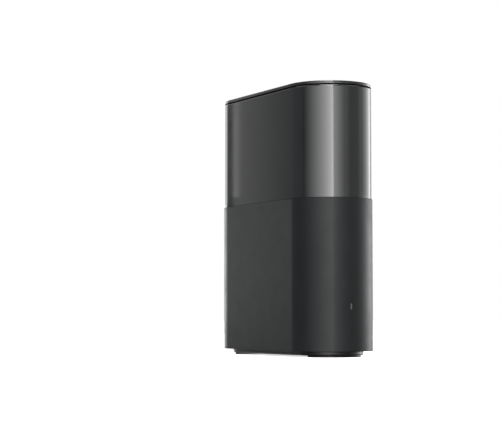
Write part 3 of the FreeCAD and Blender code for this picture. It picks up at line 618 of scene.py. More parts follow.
@dataclass(frozen=True)
class Metal(Finish):
    """Plated, drawn or extruded metal with fine lines along one axis."""

    colour: Colour
    roughness: float
    stretch: Colour = (1.0, 1.0, 0.02)
    line: float = 0.4 * MM

    def lay_out(self, sheet: NodeSheet) -> None:
        """Adds the finish's nodes to the sheet."""
        sheet.fix("Metallic", 1.0)
        lines = sheet.noise(self.line, 2.0, self.stretch)
        sheet.tint(lines, scaled(self.colour, 0.85), scaled(self.colour, 1.08))
        patch = sheet.noise(PATCH / 2, 3.0)
        sheet.roughen(sheet.spread(patch, self.roughness * 0.8, self.roughness * 1.25))
        sheet.emboss(lines, 0.01 * MM, 0.6)


@dataclass(frozen=True)
class Laminate(Finish):
    """A circuit board: solder mask over a web of fine tracks."""

    mask: Colour
    track: Colour
    tracks_per_metre: float = 420.0
    track_height: float = 0.03 * MM

    def lay_out(self, sheet: NodeSheet) -> None:
        """Adds the finish's nodes to the sheet."""
        cells = sheet.add("ShaderNodeTexVoronoi", feature="DISTANCE_TO_EDGE", distance="CHEBYCHEV")
        cells.inputs["Scale"].default_value = self.tracks_per_metre
        sheet.wire(sheet.place, cells.inputs["Vector"])
        line = sheet.spread(cells.outputs["Distance"], 0.75, 0.25, 0.02, 0.10)
        sheet.tint(line, self.mask, self.track)
        sheet.fix("Roughness", 0.28)
        sheet.emboss(line, self.track_height)


@dataclass(frozen=True)
class Lens(Finish):
    """A frosted plastic that light shines through when the device is on."""

    colour: Colour

    def lay_out(self, sheet: NodeSheet) -> None:
        """Adds the finish's nodes to the sheet."""
        frost = sheet.noise(0.5 * MM, 2.0)
        sheet.tint(frost, scaled(self.colour, 0.9), self.colour)
        sheet.roughen(sheet.spread(frost, 0.3, 0.5))
        sheet.emboss(frost, 0.01 * MM)


@dataclass(frozen=True)
class PrintedFilm(Finish):
    """A pale rating label with blank ruled lines."""

    paper: Colour
    ink: Colour
    pitch: float = 4 * MM
    line_share: float = 0.09

    def lay_out(self, sheet: NodeSheet) -> None:
        """Adds the finish's nodes to the sheet."""
        wave = sheet.reckon(sheet.axis(sheet.place, "Y"), "PINGPONG", self.pitch)
        sheet.paint(sheet.reckon(wave, "LESS_THAN", self.pitch * self.line_share), self.paper, self.ink)
        sheet.roughen(sheet.spread(sheet.noise(2 * MM, 2.0), 0.35, 0.5))


SHELL_MATT = Moulding(
    "shell_matt_finish",
    (0.0071, 0.0076, 0.0081),
    0.42,
    grain_height=0.016 * MM,
    coat=0.05,
    coat_roughness=0.12,
    specular=0.11,
)
SHELL_GLOSS = Moulding(
    "shell_gloss_finish",
    (0.0066, 0.0071, 0.0076),
    0.07,
    grain=3 * MM,
    grain_height=0.0004 * MM,
    roughness_play=0.008,
)
COVER_FINISH = PolishedRim("cover_finish", (0.0075, 0.008, 0.0085), 0.14, 0.5)
DARK_PLASTIC = Moulding("dark_plastic_finish", (0.006, 0.006, 0.0065), 0.2)
PLINTH_PLASTIC = Moulding("plinth_finish", (0.004, 0.004, 0.0044), 0.34, specular=0.25)
BEZEL_MATT = Moulding("bezel_finish", (0.014, 0.0148, 0.0155), 0.38)
FOOT_RUBBER = Moulding(
    "foot_rubber_finish",
    (0.006, 0.006, 0.0063),
    0.42,
    grain=0.6 * MM,
    grain_height=0.03 * MM,
    roughness_play=0.08,
    specular=0.22,
)
SOCKET_PLASTIC = Moulding("socket_finish", (0.012, 0.012, 0.0124), 0.36)
BUTTON_PLASTIC = Moulding(
    "button_finish", (0.009, 0.0096, 0.0102), 0.34, grain=0.6 * MM, grain_height=0.004 * MM, specular=0.35
)
BOARD = Laminate("board_finish", (0.010, 0.055, 0.026), (0.022, 0.105, 0.050))
CHIP = Moulding("chip_finish", (0.016, 0.016, 0.017), 0.48, grain=0.2 * MM, grain_height=0.01 * MM)
COMPONENT = Moulding("component_finish", (0.03, 0.03, 0.033), 0.42)
PAD_SILICONE = Moulding("thermal_pad_finish", (0.33, 0.38, 0.48), 0.7, grain=0.8 * MM, grain_height=0.03 * MM)
FRAME_PLASTIC = Moulding("frame_finish", (0.055, 0.055, 0.058), 0.5)
LEAD_JACKET = Moulding("lead_finish", (0.02, 0.02, 0.02), 0.3, grain=0.4 * MM)
GOLD = Metal("contact_finish", (0.85, 0.62, 0.24), 0.22, (0.05, 1.0, 1.0))
NICKEL = Metal("nickel_finish", (0.70, 0.69, 0.66), 0.25, (0.05, 1.0, 1.0))
TIN = Metal("shield_finish", (0.62, 0.62, 0.62), 0.34, (1.0, 1.0, 0.05))
ALUMINIUM = Metal("heatsink_finish", (0.60, 0.61, 0.63), 0.38, (1.0, 1.0, 0.01))
COPPER = Metal("aerial_finish", (0.78, 0.50, 0.28), 0.3, (1.0, 1.0, 0.05))
ZINC = Metal("screw_finish", (0.46, 0.46, 0.48), 0.32, (1.0, 1.0, 1.0))
STATUS_LENS = Lens("status_lens_finish", (0.045, 0.047, 0.05))
LED_BODY = Lens("status_led_finish", (0.80, 0.80, 0.74))
LABEL = PrintedFilm("label_finish", (0.62, 0.62, 0.60), (0.10, 0.10, 0.10))


# ---- the shells


@dataclass
class Shells:
    """The two outer sleeves and the cover over them."""

    rear: float = -86.0 * MM
    wall: float = 2.4 * MM
    rim_round: float = 1.0 * MM
    seam_round: float = 0.12 * MM
    foot_round: float = 0.3 * MM
    cover_round: float = 0.75 * MM
    bay_edge: float = 0.30 * MM
    dish_edge: float = 0.22 * MM
    dish_radius: float = 6.3 * MM
    dish_floor_radius: float = 4.7 * MM
    dish_floor: float = -84.5 * MM
    inlet_hole: float = 3.5 * MM
    button_hole: float = 3.58 * MM
    bay_corner: float = 2.0 * MM
    bay_half: float = 6.3 * MM
    bay_lap: float = 0.3 * MM
    slot_half: float = 0.7 * MM
    slot_gap: float = 0.05 * MM
    seam_gap: float = 0.15 * MM
    tongue_in: float = 0.2 * MM
    cover_lip_in: float = 6.3 * MM
    cover_lip_wall: float = 1.6 * MM
    cover_lip_depth: float = 3.0 * MM
    finish_lower: Moulding = SHELL_MATT
    finish_upper: Moulding = SHELL_GLOSS

    def build(self) -> None:
        """Builds and dresses all of them."""
        self.lower()
        self.upper()
        self.cover()

    def lower(self) -> None:
        """The matt sleeve with the socket bay, the two dishes and the light slot."""
        low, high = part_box("lower_shell")
        outline = node_outline("lower_shell")
        shell = outline.extrude("shell_lower", low.z, high.z, fill="NOTHING").thicken(self.wall)
        shell.round_edges(outline.rim(low.z), self.foot_round, 4)
        shell.round_edges(outline.rim(high.z), self.seam_round, 2)
        button, inlet = self.centre("pair_button"), self.centre("dc_jack")
        dishes = [self.dish(at.z) for at in (button, inlet)]
        holes = [self.through(button.z, self.button_hole), self.through(inlet.z, self.inlet_hole)]
        shell.carve(self.bay(), *dishes, *holes, self.light_slot())
        around = self.dish_radius + LAP
        for end in (button, inlet):
            shell.round_edges(self.rim_near(outline, end, around, around), self.dish_edge, 3)
        bay_low, bay_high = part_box("port_bezel")
        bay_half = (bay_high.z - bay_low.z) / 2 + LAP
        bay_rim = self.rim_near(outline, (bay_low + bay_high) / 2, around, bay_half)
        shell.round_edges(bay_rim, self.bay_edge, 3)
        light_low, light_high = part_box("light_guide")
        tall = light_high.z - light_low.z
        shell.round_edges(self.rim_near(outline, self.centre("light_guide"), tall, tall), self.seam_round, 2)
        shell.polish().hand_over("housing", "shell_matt", self.finish_lower.material(), "lower_shell")

    @staticmethod
    def centre(node: str) -> Vector:
        """The middle of a CAD node."""
        low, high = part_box(node)
        return (low + high) / 2

    @staticmethod
    def rim_near(outline: Outline, middle: Vector, across: float, up: float) -> EdgeTest:
        """A test for edges on the outer face around a point at one end.

        Args:
            outline: the shell's outline.
            middle: the point, or one behind it.
            across: how far to either side the edges may lie.
            up: how far above or below they may lie.

        Returns:
            The test.
        """

        def there(point: Vector) -> bool:
            """Whether a point lies there."""
            same_end = point.x * middle.x > 0
            return same_end and abs(point.y) < across and abs(point.z - middle.z) < up and outline.on(point)

        return lambda a, b: there(a) and there(b)

    def bay(self) -> Workpiece:
        """The tool for the socket bay: a block with four rounded corners."""
        low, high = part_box("port_bezel")
        front = self.rear - TOOL_BEYOND
        tool = Workpiece.block(
            "bay_tool",
            xyz(front, -self.bay_half, low.z + self.bay_lap),
            xyz(self.rear + TOOL_REACH, self.bay_half, high.z - self.bay_lap),
        )
        return tool.round_edges(lengthwise, self.bay_corner, 8)

    def dish(self, height: float) -> Workpiece:
        """The tool for one dish: a cone that narrows to the dish's floor."""
        slope = (self.dish_radius - self.dish_floor_radius) / (self.dish_floor - self.rear)
        mouth = self.dish_radius + slope * TOOL_BEYOND
        return Workpiece.drum(
            "dish_tool",
            mouth,
            xyz(self.rear - TOOL_BEYOND, 0, height),
            xyz(self.dish_floor, 0, height),
            64,
            self.dish_floor_radius,
        )

    def through(self, height: float, radius: float) -> Workpiece:
        """The tool for a round hole through the rear wall."""
        start = xyz(self.rear - TOOL_BEYOND, 0, height)
        return Workpiece.drum("hole_tool", radius, start, start + xyz(TOOL_BEYOND + TOOL_REACH, 0, 0), 48)

    def light_slot(self) -> Workpiece:
        """The tool for the light slot: a block with fully rounded ends."""
        low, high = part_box("light_guide")
        half = self.slot_half
        tool = Workpiece.block(
            "slot_tool",
            xyz(-self.rear - TOOL_REACH, -half, low.z - self.slot_gap),
            xyz(-self.rear + TOOL_BEYOND, half, high.z + self.slot_gap),
        )
        return tool.round_edges(lengthwise, half * FULL_ROUND, 6)

    def upper(self) -> None:
        """The gloss sleeve with its softly rounded rim and the tongue inside the seam."""
        low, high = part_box("upper_shell")
        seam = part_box("lower_shell")[1].z + self.seam_gap
        outline = node_outline("upper_shell")
        shell = outline.extrude("shell_upper", seam, high.z, fill="NOTHING").thicken(self.wall)
        shell.round_edges(outline.rim(high.z), self.rim_round, 6)
        shell.round_edges(outline.inside(self.wall).rim(high.z), self.foot_round, 3)
        shell.round_edges(outline.rim(seam), self.seam_round, 2)
        inner = outline.inside(self.wall + self.tongue_in)
        tongue = inner.extrude("tongue", low.z, seam + MM, fill="NOTHING")
        shell.join(tongue.thicken(self.wall / 2))
        shell.polish().hand_over("housing", "shell_gloss", self.finish_upper.material(), "upper_shell")

    def cover(self) -> None:
        """The thin lid with a rounded rim and a lip underneath."""
        low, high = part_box("top_cover")
        outline = node_outline("top_cover")
        underside = low.z + self.cover_lip_depth
        lid = outline.extrude("cover_plate", underside, high.z)
        lid.round_edges(outline.rim(high.z), self.cover_round, 6)
        lid.round_edges(outline.rim(underside), self.foot_round / 2, 3)
        lid.step_in(lambda middle, facing: facing.z < -0.9, self.cover_lip_in, 0.0)
        lid.pull(xyz(0, 0, -self.cover_lip_depth))
        lid.again_in(self.cover_lip_wall, 0.0)
        lid.pull(xyz(0, 0, self.cover_lip_depth))
        lid.polish().hand_over("housing", "cover", COVER_FINISH.material(), "top_cover")


# ---- the base


@dataclass
class Base:
    """The recessed plinth and the half-moon feet under it."""

    boss_rise: float = 2.1 * MM
    flange_drop: float = 3.0 * MM
    plinth_in: float = 4.7 * MM
    chamfer: float = 0.9 * MM
    floor: float = 1.3 * MM
    foot_round: float = 0.5 * MM
    foot_start: float = 60.0 * MM
    foot_radius: float = 23.7 * MM
    slot_width: float = 2.6 * MM
    slot_length: float = 32.0 * MM
    slot_depth: float = 6.0 * MM
    slot_pitch: float = 6.0 * MM
    slot_first: float = -52.0 * MM
    slots: int = 11

    def build(self) -> None:
        """Builds and dresses the plinth and both feet."""
        self.plinth()
        for end, sign in (("front", 1.0), ("rear", -1.0)):
            self.foot(end, sign)

    def plinth(self) -> None:
        """The tray: a flange inside the shell, and a plinth stepped in below it with a chamfered edge."""
        outline = node_outline("base_plate")
        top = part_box("base_plate")[1].z - self.boss_rise
        tray = outline.extrude("plinth", top - self.flange_drop, top)
        tray.step_in(lambda middle, facing: facing.z < -0.9, self.plinth_in, 0.0)
        tray.pull(xyz(0, 0, self.floor + self.chamfer - (top - self.flange_drop)))
        tray.again_in(self.chamfer, self.chamfer)
        first = Workpiece.block(
            "intake_tool",
            xyz(self.slot_first - self.slot_width / 2, -self.slot_length / 2, 0),
            xyz(self.slot_first + self.slot_width / 2, self.slot_length / 2, self.slot_depth),
        )
        first.round_edges(lambda a, b: near(a.y, b.y) and near(a.x, b.x), self.slot_width / 2 * FULL_ROUND, 6)
        first.row(self.slots, xyz(self.slot_pitch, 0, 0))
        tray.carve(first)
        tray.polish().hand_over("housing", "dark_plastic", PLINTH_PLASTIC.material(), "base_plate")

    def foot(self, end: str, sign: float) -> None:
        """One half-moon pad with a rounded lower edge.

        Args:
            end: front or rear.
            sign: which way that end points along X.
        """
        low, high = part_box(f"{end}_foot")
        straight = node_outline("lower_shell").straight
        pad = Workpiece.drum(
            f"{end}_pad",
            self.foot_radius,
            xyz(sign * straight, 0, low.z),
            xyz(sign * straight, 0, high.z),
            128,
        )
        pad.slice_off(xyz(sign * self.foot_start, 0, 0), xyz(-sign, 0, 0))
        pad.round_edges(level(low.z), self.foot_round, 4)
        pad.polish().hand_over("housing", "foot_rubber", FOOT_RUBBER.material(), f"{end}_foot")


# ---- rear sockets


@dataclass
class Sockets:
    """The panel with four network sockets, their contacts, and the power inlet."""

    first: float = 35.7 * MM
    pitch: float = 15.0 * MM
    count: int = 4
    roof: float = -5.0 * MM
    steps: tuple[tuple[float, float], ...] = ((11.8, 6.8), (6.2, 1.4), (4.0, 1.3))
    face: float = -84.6 * MM
    panel_half: float = 6.2 * MM
    panel_gap: float = 0.4 * MM
    panel_corner: float = 1.9 * MM
    port_round: float = 0.25 * MM
    mouth_round: float = 0.3 * MM
    cavity: float = 15.0 * MM
    wire_width: float = 0.46 * MM
    wire_thick: float = 0.36 * MM
    wire_pitch: float = 1.02 * MM
    wire_tail: float = 2.0 * MM
    wires: int = 8
    wire_bends: tuple[tuple[float, float], ...] = (
        (-6.5, 0.0),
        (-0.7, 0.25),
        (-0.25, 0.5),
        (0.35, 0.45),
        (1.8, 0.9),
        (2.6, 1.2),
        (1.6, 0.35),
    )
    comb_start: float = 3.0 * MM
    comb_deep: float = 0.8 * MM
    comb_half: float = 0.3 * MM
    inlet_bore: float = 3.2 * MM
    inlet_depth: float = 10.0 * MM
    pin_round: float = 0.35 * MM

    def build(self) -> None:
        """Builds and dresses them all."""
        self.panel()
        self.jacks()
        self.contacts()
        self.inlet()

    def opening(self, height: float, front: float, back: float) -> Workpiece:
        """The tool for one stepped opening.

        Args:
            height: the height of its middle.
            front: where it starts along X.
            back: where it ends along X.

        Returns:
            The tool, a block stepped twice towards the latch.
        """
        scale = [(width * MM / 2, tall * MM) for width, tall in self.steps]
        half, tall = scale[0]
        floor = self.roof + tall
        tool = Workpiece.block(
            "port_tool", xyz(front, self.roof, height - half), xyz(back, floor, height + half)
        )
        for half_before, (half, tall) in zip((half, scale[1][0]), scale[1:]):
            highest = max(v.co.y for v in tool.thing.data.vertices)
            tool.pick(Element.FACE, lambda middle, facing: facing.y > 0.9 and near(middle.y, highest))
            tool.pull(xyz(0, tall, 0))
            top = highest + tall
            tool.shift(lambda p: near(p.y, top) and p.z > height, xyz(0, 0, half - half_before))
            tool.shift(lambda p: near(p.y, top) and p.z < height, xyz(0, 0, half_before - half))
            tool.clear_bench()
            tool.thing.data.update()
            self.square_step(tool, highest, height, half, half_before)
        return tool

    @staticmethod
    def square_step(tool: Workpiece, at: float, height: float, half: float, before: float) -> None:
        """Draws the slanted flanks of a new step square by splitting them at its foot."""
        tool.pick_all()
        cut = at + 0.01 * MM
        slack = 0.005 * MM
        bpy.ops.mesh.bisect(plane_co=(0, cut, 0), plane_no=(0, 1, 0))
        tool.shift(lambda p: near(p.y, cut, slack) and p.z > height, xyz(0, 0, half - before))
        tool.shift(lambda p: near(p.y, cut, slack) and p.z < height, xyz(0, 0, before - half))

    def panel(self) -> None:
        """The flat panel in the bay with its four openings."""
        low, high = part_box("port_bezel")
        panel = Workpiece.block(
            "socket_panel",
            xyz(self.face, -self.panel_half, low.z + self.panel_gap),
            xyz(high.x, self.panel_half, high.z - self.panel_gap),
        )
        panel.round_edges(lengthwise, self.panel_corner, 8)
        panel.carve(*(self.opening(h, self.face - MM, high.x + MM) for h in self.heights()))
        panel.round_edges(standing(self.face), self.port_round, 3)
        panel.polish().hand_over("housing", "bezel", BEZEL_MATT.material(), "port_bezel")

    def heights(self) -> list[float]:
        """The heights of the sockets' middles."""
        return [self.first + i * self.pitch for i in range(self.count)]

    def jacks(self) -> None:
        """The sockets: a block with a stepped cavity, a chamfered mouth and a comb for the contacts."""
        low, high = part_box("lan_jack_1")
        jack = Workpiece.block("socket_1", low, high)
        jack.carve(self.opening(self.first, low.x - MM, low.x + self.cavity))
        jack.round_edges(standing(low.x), self.mouth_round, 2)
        side = self.first - (self.wires - 1) / 2 * self.wire_pitch
        groove = Workpiece.block(
            "comb_tool",
            xyz(low.x + self.comb_start, self.roof - self.comb_deep, side - self.comb_half),
            xyz(low.x + self.cavity, self.roof + LAP, side + self.comb_half),
        )
        jack.carve(groove.row(self.wires, xyz(0, 0, self.wire_pitch)))
        jack.polish()
        finish = SOCKET_PLASTIC.material()
        others = [jack.copy(f"socket_{i + 1}", xyz(0, 0, i * self.pitch)) for i in range(1, self.count)]
        for i, piece in enumerate([jack, *others]):
            piece.hand_over("housing", "socket_plastic", finish, f"lan_jack_{i + 1}")

    def contacts(self) -> None:
        """The spring contacts: each runs forward under the roof, turns back and slopes into the cavity."""
        low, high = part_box("lan_contacts")
        z = self.first - (self.wires - 1) / 2 * self.wire_pitch
        wire = Workpiece.block(
            "contact_springs",
            xyz(high.x - self.wire_tail, low.y, z - self.wire_width / 2),
            xyz(high.x, low.y + self.wire_thick, z + self.wire_width / 2),
        )
        wire.pick(Element.FACE, lambda middle, facing: facing.x < -0.9)
        for along, down in self.wire_bends:
            wire.pull(xyz(along * MM, down * MM, 0))
        wire.row(self.wires, xyz(0, 0, self.wire_pitch)).row(self.count, xyz(0, 0, self.pitch))
        wire.pick_all()
        bpy.ops.mesh.normals_make_consistent(inside=False)
        wire.polish(50).hand_over("housing", "contact_metal", GOLD.material(), "lan_contacts")

    def inlet(self) -> None:
        """The power inlet's block with its round bore, and the pin in the middle of it."""
        low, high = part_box("dc_jack")
        axis = (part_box("dc_pin")[0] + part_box("dc_pin")[1]) / 2
        body = Workpiece.block("power_inlet", low, high)
        bore = Workpiece.drum(
            "bore_tool",
            self.inlet_bore,
            xyz(low.x - MM, 0, axis.z),
            xyz(low.x + self.inlet_depth, 0, axis.z),
            64,
        )
        body.carve(bore)

        def mouth(point: Vector) -> bool:
            """Whether a point is on the bore's mouth."""
            out = math.hypot(point.y, point.z - axis.z)
            return near(point.x, low.x) and out < self.inlet_bore + LAP

        body.round_edges(lambda a, b: mouth(a) and mouth(b), self.mouth_round, 3)
        body.polish().hand_over("housing", "socket_plastic", SOCKET_PLASTIC.material(), "dc_jack")
        pin_low, pin_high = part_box("dc_pin")
        radius = (pin_high.z - pin_low.z) / 2
        pin = Workpiece.drum(
            "inlet_pin", radius, xyz(pin_low.x, 0, axis.z), xyz(pin_high.x, 0, axis.z), 32
        )
        pin.round_edges(standing(pin_low.x), self.pin_round, 4)
        pin.polish().hand_over("housing", "inlet_metal", NICKEL.material(), "dc_pin")


# ---- button and light


@dataclass
class Controls:
    """The pairing button and the status light's lens."""

    button_radius: float = 3.5 * MM
    button_round: float = 0.4 * MM
    hollow_edge: float = 0.55 * MM
    hollow_steps: tuple[tuple[float, float], ...] = ((0.5, -0.10), (0.6, -0.08), (0.7, -0.05))
    collar_front: float = -81.75 * MM
    collar_back: float = -80.4 * MM
    rod_radius: float = 1.5 * MM
    lens_half: float = 0.65 * MM
    lens_round: float = 0.12 * MM
    elbow_in: float = 0.3 * MM
    elbow_thick: float = 2.4 * MM

    def build(self) -> None:
        """Builds and dresses both."""
        self.button()
        self.lens()

    def button(self) -> None:
        """The button: a rounded cap with a shallow finger hollow, a collar and a rod."""
        low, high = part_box("pair_button")
        z = (low.z + high.z) / 2
        places = (low.x, self.collar_front, self.collar_back, high.x)
        front, middle, back, end = (xyz(x, 0, z) for x in places)
        cap = Workpiece.drum("button_cap", self.button_radius, middle, front, 64)
        cap.round_edges(standing(low.x), self.button_round, 4)
        cap.step_in(lambda at, facing: facing.x < -0.95 and near(at.x, low.x, 1e-4), self.hollow_edge, 0.0)
        for inwards, depth in self.hollow_steps:
            cap.again_in(inwards * MM, depth * MM)
        collar = Workpiece.drum("collar", (high.z - low.z) / 2, middle, back, 64)
        rod = Workpiece.drum("rod", self.rod_radius, back, end, 32)
        cap.join(collar, rod)
        cap.polish().hand_over("button", "button_plastic", BUTTON_PLASTIC.material(), "pair_button")

    def lens(self) -> None:
        """The light guide: a bar that fills the slot, and the elbow that leads back to the light."""
        low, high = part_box("light_guide")
        lens = Workpiece.block(
            "status_lens", xyz(low.x, -self.lens_half, low.z), xyz(high.x, self.lens_half, high.z)
        )
        lens.round_edges(lengthwise, self.lens_half * FULL_ROUND, 6)
        lens.round_edges(standing(high.x), self.lens_round, 2)
        start = xyz(low.x, 0, low.z + self.elbow_in)
        elbow = Workpiece.block("elbow", start, xyz(low.x + self.elbow_thick, high.y, high.z - self.elbow_in))
        elbow.round_edges(lambda a, b: near(a.x, b.x) and near(a.y, b.y), self.elbow_in, 2)
        lens.join(elbow)
        lens.polish().hand_over("housing", "light_guide", STATUS_LENS.material(), "light_guide")


# ---- pieces kept from the CAD model


@dataclass
class InnerParts:
    """The CAD pieces that keep their shape and get a finish."""

    finishes: tuple[tuple[Finish, str], ...] = (
        (DARK_PLASTIC, "vent_ring"),
        (LABEL, "rating_label"),
        (COMPONENT, "lan_transformers power_coils switch_stem pair_switch"),
        (ALUMINIUM, "power_capacitors finned_heatsink rear_heatsink"),
        (BOARD, "main_board"),
        (TIN, "processor_shield low_band_shield high_band_shield"),
        (CHIP, "processor_chip memory_chips radio_chips switch_chip"),
        (LED_BODY, "status_led"),
        (PAD_SILICONE, "thermal_pads rear_thermal_pad"),
        (FRAME_PLASTIC, "inner_frame"),
        (COPPER, "aerial_front aerial_rear aerial_left aerial_right"),
        (LEAD_JACKET, "lead_front lead_rear lead_right lead_left"),
        (GOLD, "lead_plugs"),
        (ZINC, "base_screws board_screws vent_ring_screws"),
    )

    def dress(self) -> None:
        """Gives each CAD node its finish, one material for each kind."""
        for finish, nodes in self.finishes:
            material = finish.material()
            for node in nodes.split():
                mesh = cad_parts[node].data
                mesh.materials.clear()
                mesh.materials.append(material)
                LOG.info("%s: %s", node, finish.name)


# ---- studio


@dataclass(frozen=True)
class Panel:
    """One soft light panel, placed by its bearing from the object.

    Bearings are in degrees: 0 is the camera's side, plus is to the camera's right. The low and high
    edges are heights above the floor, and about is the point on the plan that the panel faces.
    """

    name: str
    bearing: float
    distance: float
    width: float
    low: float
    high: float
    radiance: float
    fall: Fall = Fall.EVEN
    power: float = 1.0
    about: tuple[float, float] = (0.0, 0.0)


@dataclass
class Studio:
    """The floor, the lights and the camera."""

    facing: float = math.radians(63.05)
    tilt: float = math.radians(3.67)
    aside: float = 0.03592
    distance: float = 1.27428
    height: float = 0.0305
    lens: float = 116.6
    sensor: float = 36.0
    panels: tuple[Panel, ...] = (
        Panel("key_panel", -33.0, 0.95, 1.75, -0.12, 0.41, 12.0, Fall.TO_RIGHT, 1.9, FRONT),
        Panel("high_panel", -12.0, 0.95, 0.754, 0.62, 1.4, 34.0, Fall.TO_RIGHT, 1.5, FRONT),
        Panel("fill_panel", 33.0, 0.95, 0.80, -0.12, 0.37, 5.3, Fall.TO_LEFT, 1.6, FRONT),
        Panel("side_wall", 66.0, 0.95, 0.85, -0.12, 0.9, 0.42, Fall.EVEN, 1.0, FRONT),
        Panel("left_wall", -98.5, 0.95, 0.826, -0.12, 0.9, 0.18, Fall.EVEN, 1.0, FRONT),
        Panel("rim_right_low", 105.0, 0.9, 1.1, -0.05, 0.18, 11.0, Fall.TO_RIGHT, 1.4, FRONT),
        Panel("rim_right", 107.0, 0.9, 1.05, 0.18, 0.6, 6.0, Fall.TO_RIGHT, 1.5, FRONT),
        Panel("rim_left_low", -143.0, 0.45, 0.1425, -0.01, 0.149, 4.0, Fall.EVEN, 1.0, REAR),
        Panel("rim_left", -133.4, 0.9, 0.262, 0.18, 0.6, 1.9, Fall.TO_LEFT, 0.35, REAR),
        Panel("side_strip", -117.3, 0.25, 0.0747, 0.13, 0.35, 0.56, Fall.TO_LEFT, 1.0, REAR_EDGE),
        Panel("side_line", -125.05, 0.25, 0.0066, 0.145, 0.35, 0.95, Fall.TO_LEFT, 0.7, REAR_EDGE),
        Panel("back_panel", 180.0, 1.5, 2.5, -0.12, 0.9, 1.9, Fall.EVEN),
    )
    sun_strength: float = 3.0
    sun_angle: float = math.radians(25.0)
    ambient: float = 0.12
    floor_glow: float = 0.7
    ceiling_size: float = 1.7
    ceiling_height: float = 1.05
    ceiling_radiance: float = 1.6
    table_hole: float = 2.0
    table_band: float = 2.0
    table_depth: float = -0.6
    table_radiance: float = 0.65

    def set_up(self) -> None:
        """Puts the whole studio up."""
        self.camera()
        self.floor()
        self.backdrop()
        for panel in self.panels:
            self.panel(panel)
        self.overhead()
        self.table()
        bpy.context.scene.view_settings.view_transform = "Standard"

    def bearing(self, degrees: float) -> Vector:
        """The level direction from the object at a bearing."""
        angle = self.facing + math.radians(degrees - 90)
        return xyz(math.cos(angle), math.sin(angle), 0)

    @staticmethod
    def place(name: str, data: bpy.types.ID) -> bpy.types.Object:
        """Puts a light or a camera into the scene."""
        thing = bpy.data.objects.new(name, data)
        bpy.context.scene.collection.objects.link(thing)
        return thing

    def camera(self) -> None:
        """The camera: low, level with the sockets, turned up a little."""
        data = bpy.data.cameras.new("camera")
        data.lens = self.lens
        data.sensor_width = self.sensor
        data.clip_end = 20.0
        camera = self.place("camera", data)
        camera.location = self.bearing(0) * self.distance - self.bearing(90) * self.aside
        camera.location.z = self.height
        camera.rotation_euler = (math.pi / 2 + self.tilt, 0, self.facing)
        bpy.context.scene.camera = camera

    def floor(self) -> None:
        """A wide pale floor."""
        Workpiece.clear_bench()
        bpy.ops.mesh.primitive_plane_add(size=16.0, location=(0, 0, 0))
        floor = bpy.context.active_object
        floor.name = "floor"
        sheet = NodeSheet("floor_finish")
        sheet.tint(sheet.noise(0.5, 2.0), (0.86, 0.86, 0.86), (0.88, 0.88, 0.88))
        sheet.fix("Roughness", 0.9)
        sheet.fix("Specular IOR Level", 0.1)
        sheet.fix("Emission Color", (1, 1, 1, 1))
        sheet.fix("Emission Strength", self.floor_glow)
        floor.data.materials.append(sheet.material)
        floor.visible_glossy = False
        floor.visible_diffuse = False
        floor.visible_shadow = False

    def backdrop(self) -> None:
        """A white surround that shines on the object more softly than it shows."""
        world = bpy.data.worlds.new("surround")
        bpy.context.scene.world = world
        world.use_nodes = True
        tree = world.node_tree
        tree.nodes.clear()
        path = tree.nodes.new("ShaderNodeLightPath")
        mix = tree.nodes.new("ShaderNodeMixShader")
        out = tree.nodes.new("ShaderNodeOutputWorld")
        tree.links.new(path.outputs["Is Camera Ray"], mix.inputs["Fac"])
        felt = (1, (0.98, 0.99, 1.0, 1), self.ambient)
        seen = (2, (1, 1, 1, 1), 1.0)
        for socket, colour, strength in (felt, seen):
            glow = tree.nodes.new("ShaderNodeBackground")
            glow.inputs["Color"].default_value = colour
            glow.inputs["Strength"].default_value = strength
            tree.links.new(glow.outputs["Background"], mix.inputs[socket])
        tree.links.new(mix.outputs["Shader"], out.inputs["Surface"])

    def panel(self, panel: Panel) -> None:
        """Hangs one light panel, facing the object."""
        direction = self.bearing(panel.bearing)
        light = self.area(panel.name, panel.width, panel.high - panel.low, panel.radiance)
        centre = xyz(panel.about[0], panel.about[1], (panel.low + panel.high) / 2)
        light.location = centre + direction * panel.distance
        light.rotation_euler = direction.to_track_quat("Z", "Y").to_euler()
        if panel.fall is not Fall.EVEN:
            self.grade(light.data, panel.fall, panel.power)

    def area(self, name: str, width: float, tall: float, radiance: float) -> bpy.types.Object:
        """A rectangular area light that the camera doesn't see.

        Args:
            name: the light's name.
            width: its width in metres.
            tall: its height in metres.
            radiance: how bright its face is, with 1 as paper white.

        Returns:
            The light, facing down.
        """
        data = bpy.data.lights.new(name, "AREA")
        data.shape = "RECTANGLE"
        data.size = width
        data.size_y = tall
        data.energy = radiance * math.pi * width * tall
        light = self.place(name, data)
        light.visible_camera = False
        return light

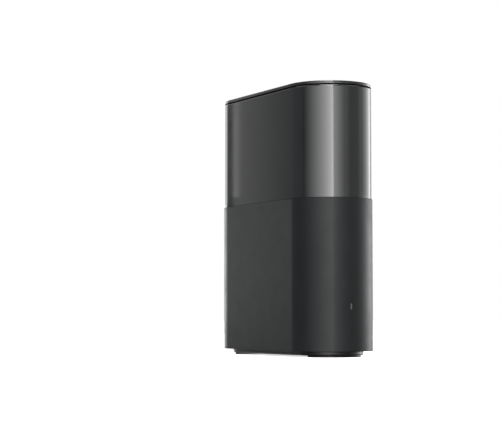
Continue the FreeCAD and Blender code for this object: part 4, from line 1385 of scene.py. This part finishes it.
    @staticmethod
    def grade(data: bpy.types.AreaLight, fall: Fall, power: float) -> None:
        """Makes a panel's brightness run across its width.

        Args:
            data: the light.
            fall: which side is the brighter.
            power: how steeply it falls off.
        """
        data.use_nodes = True
        tree = data.node_tree
        glow = next(n for n in tree.nodes if n.type == "EMISSION")
        place = tree.nodes.new("ShaderNodeNewGeometry")
        parts = tree.nodes.new("ShaderNodeSeparateXYZ")
        share = tree.nodes.new("ShaderNodeMapRange")
        if fall is Fall.TO_LEFT:
            share.inputs["To Min"].default_value = 1.0
            share.inputs["To Max"].default_value = 0.0
        steep = tree.nodes.new("ShaderNodeMath")
        steep.operation = "POWER"
        steep.inputs[1].default_value = power
        tree.links.new(place.outputs["Parametric"], parts.inputs["Vector"])
        tree.links.new(parts.outputs["X"], share.inputs["Value"])
        tree.links.new(share.outputs["Result"], steep.inputs[0])
        tree.links.new(steep.outputs["Value"], glow.inputs["Strength"])

    def overhead(self) -> None:
        """The soft light from straight above, which whitens the floor."""
        data = bpy.data.lights.new("overhead", "SUN")
        data.energy = self.sun_strength
        data.angle = self.sun_angle
        self.place("overhead", data)
        ceiling = self.area("ceiling_panel", self.ceiling_size, self.ceiling_size, self.ceiling_radiance)
        ceiling.location = (0, 0, self.ceiling_height)

    def table(self) -> None:
        """Four panels around the object's foot that shine up, as the lit floor of a studio does."""
        length = self.table_hole + self.table_band
        sideways = self.table_band / 2
        outwards = (self.table_hole + self.table_band) / 2
        for quarter in range(4):
            turn = quarter * math.pi / 2
            light = self.area(f"table_glow_{quarter + 1}", length, self.table_band, self.table_radiance)
            place = xyz(sideways, outwards, self.table_depth)
            place.rotate(Euler((0, 0, turn)))
            light.location = place
            light.rotation_euler = (math.pi, 0, turn)


def main() -> None:
    """Builds every sub-assembly in order."""
    logging.basicConfig(level=logging.INFO, format="%(name)s %(message)s")
    Studio().set_up()
    Shells().build()
    Base().build()
    Sockets().build()
    Controls().build()
    InnerParts().dress()


if __name__ == "__main__":
    main()
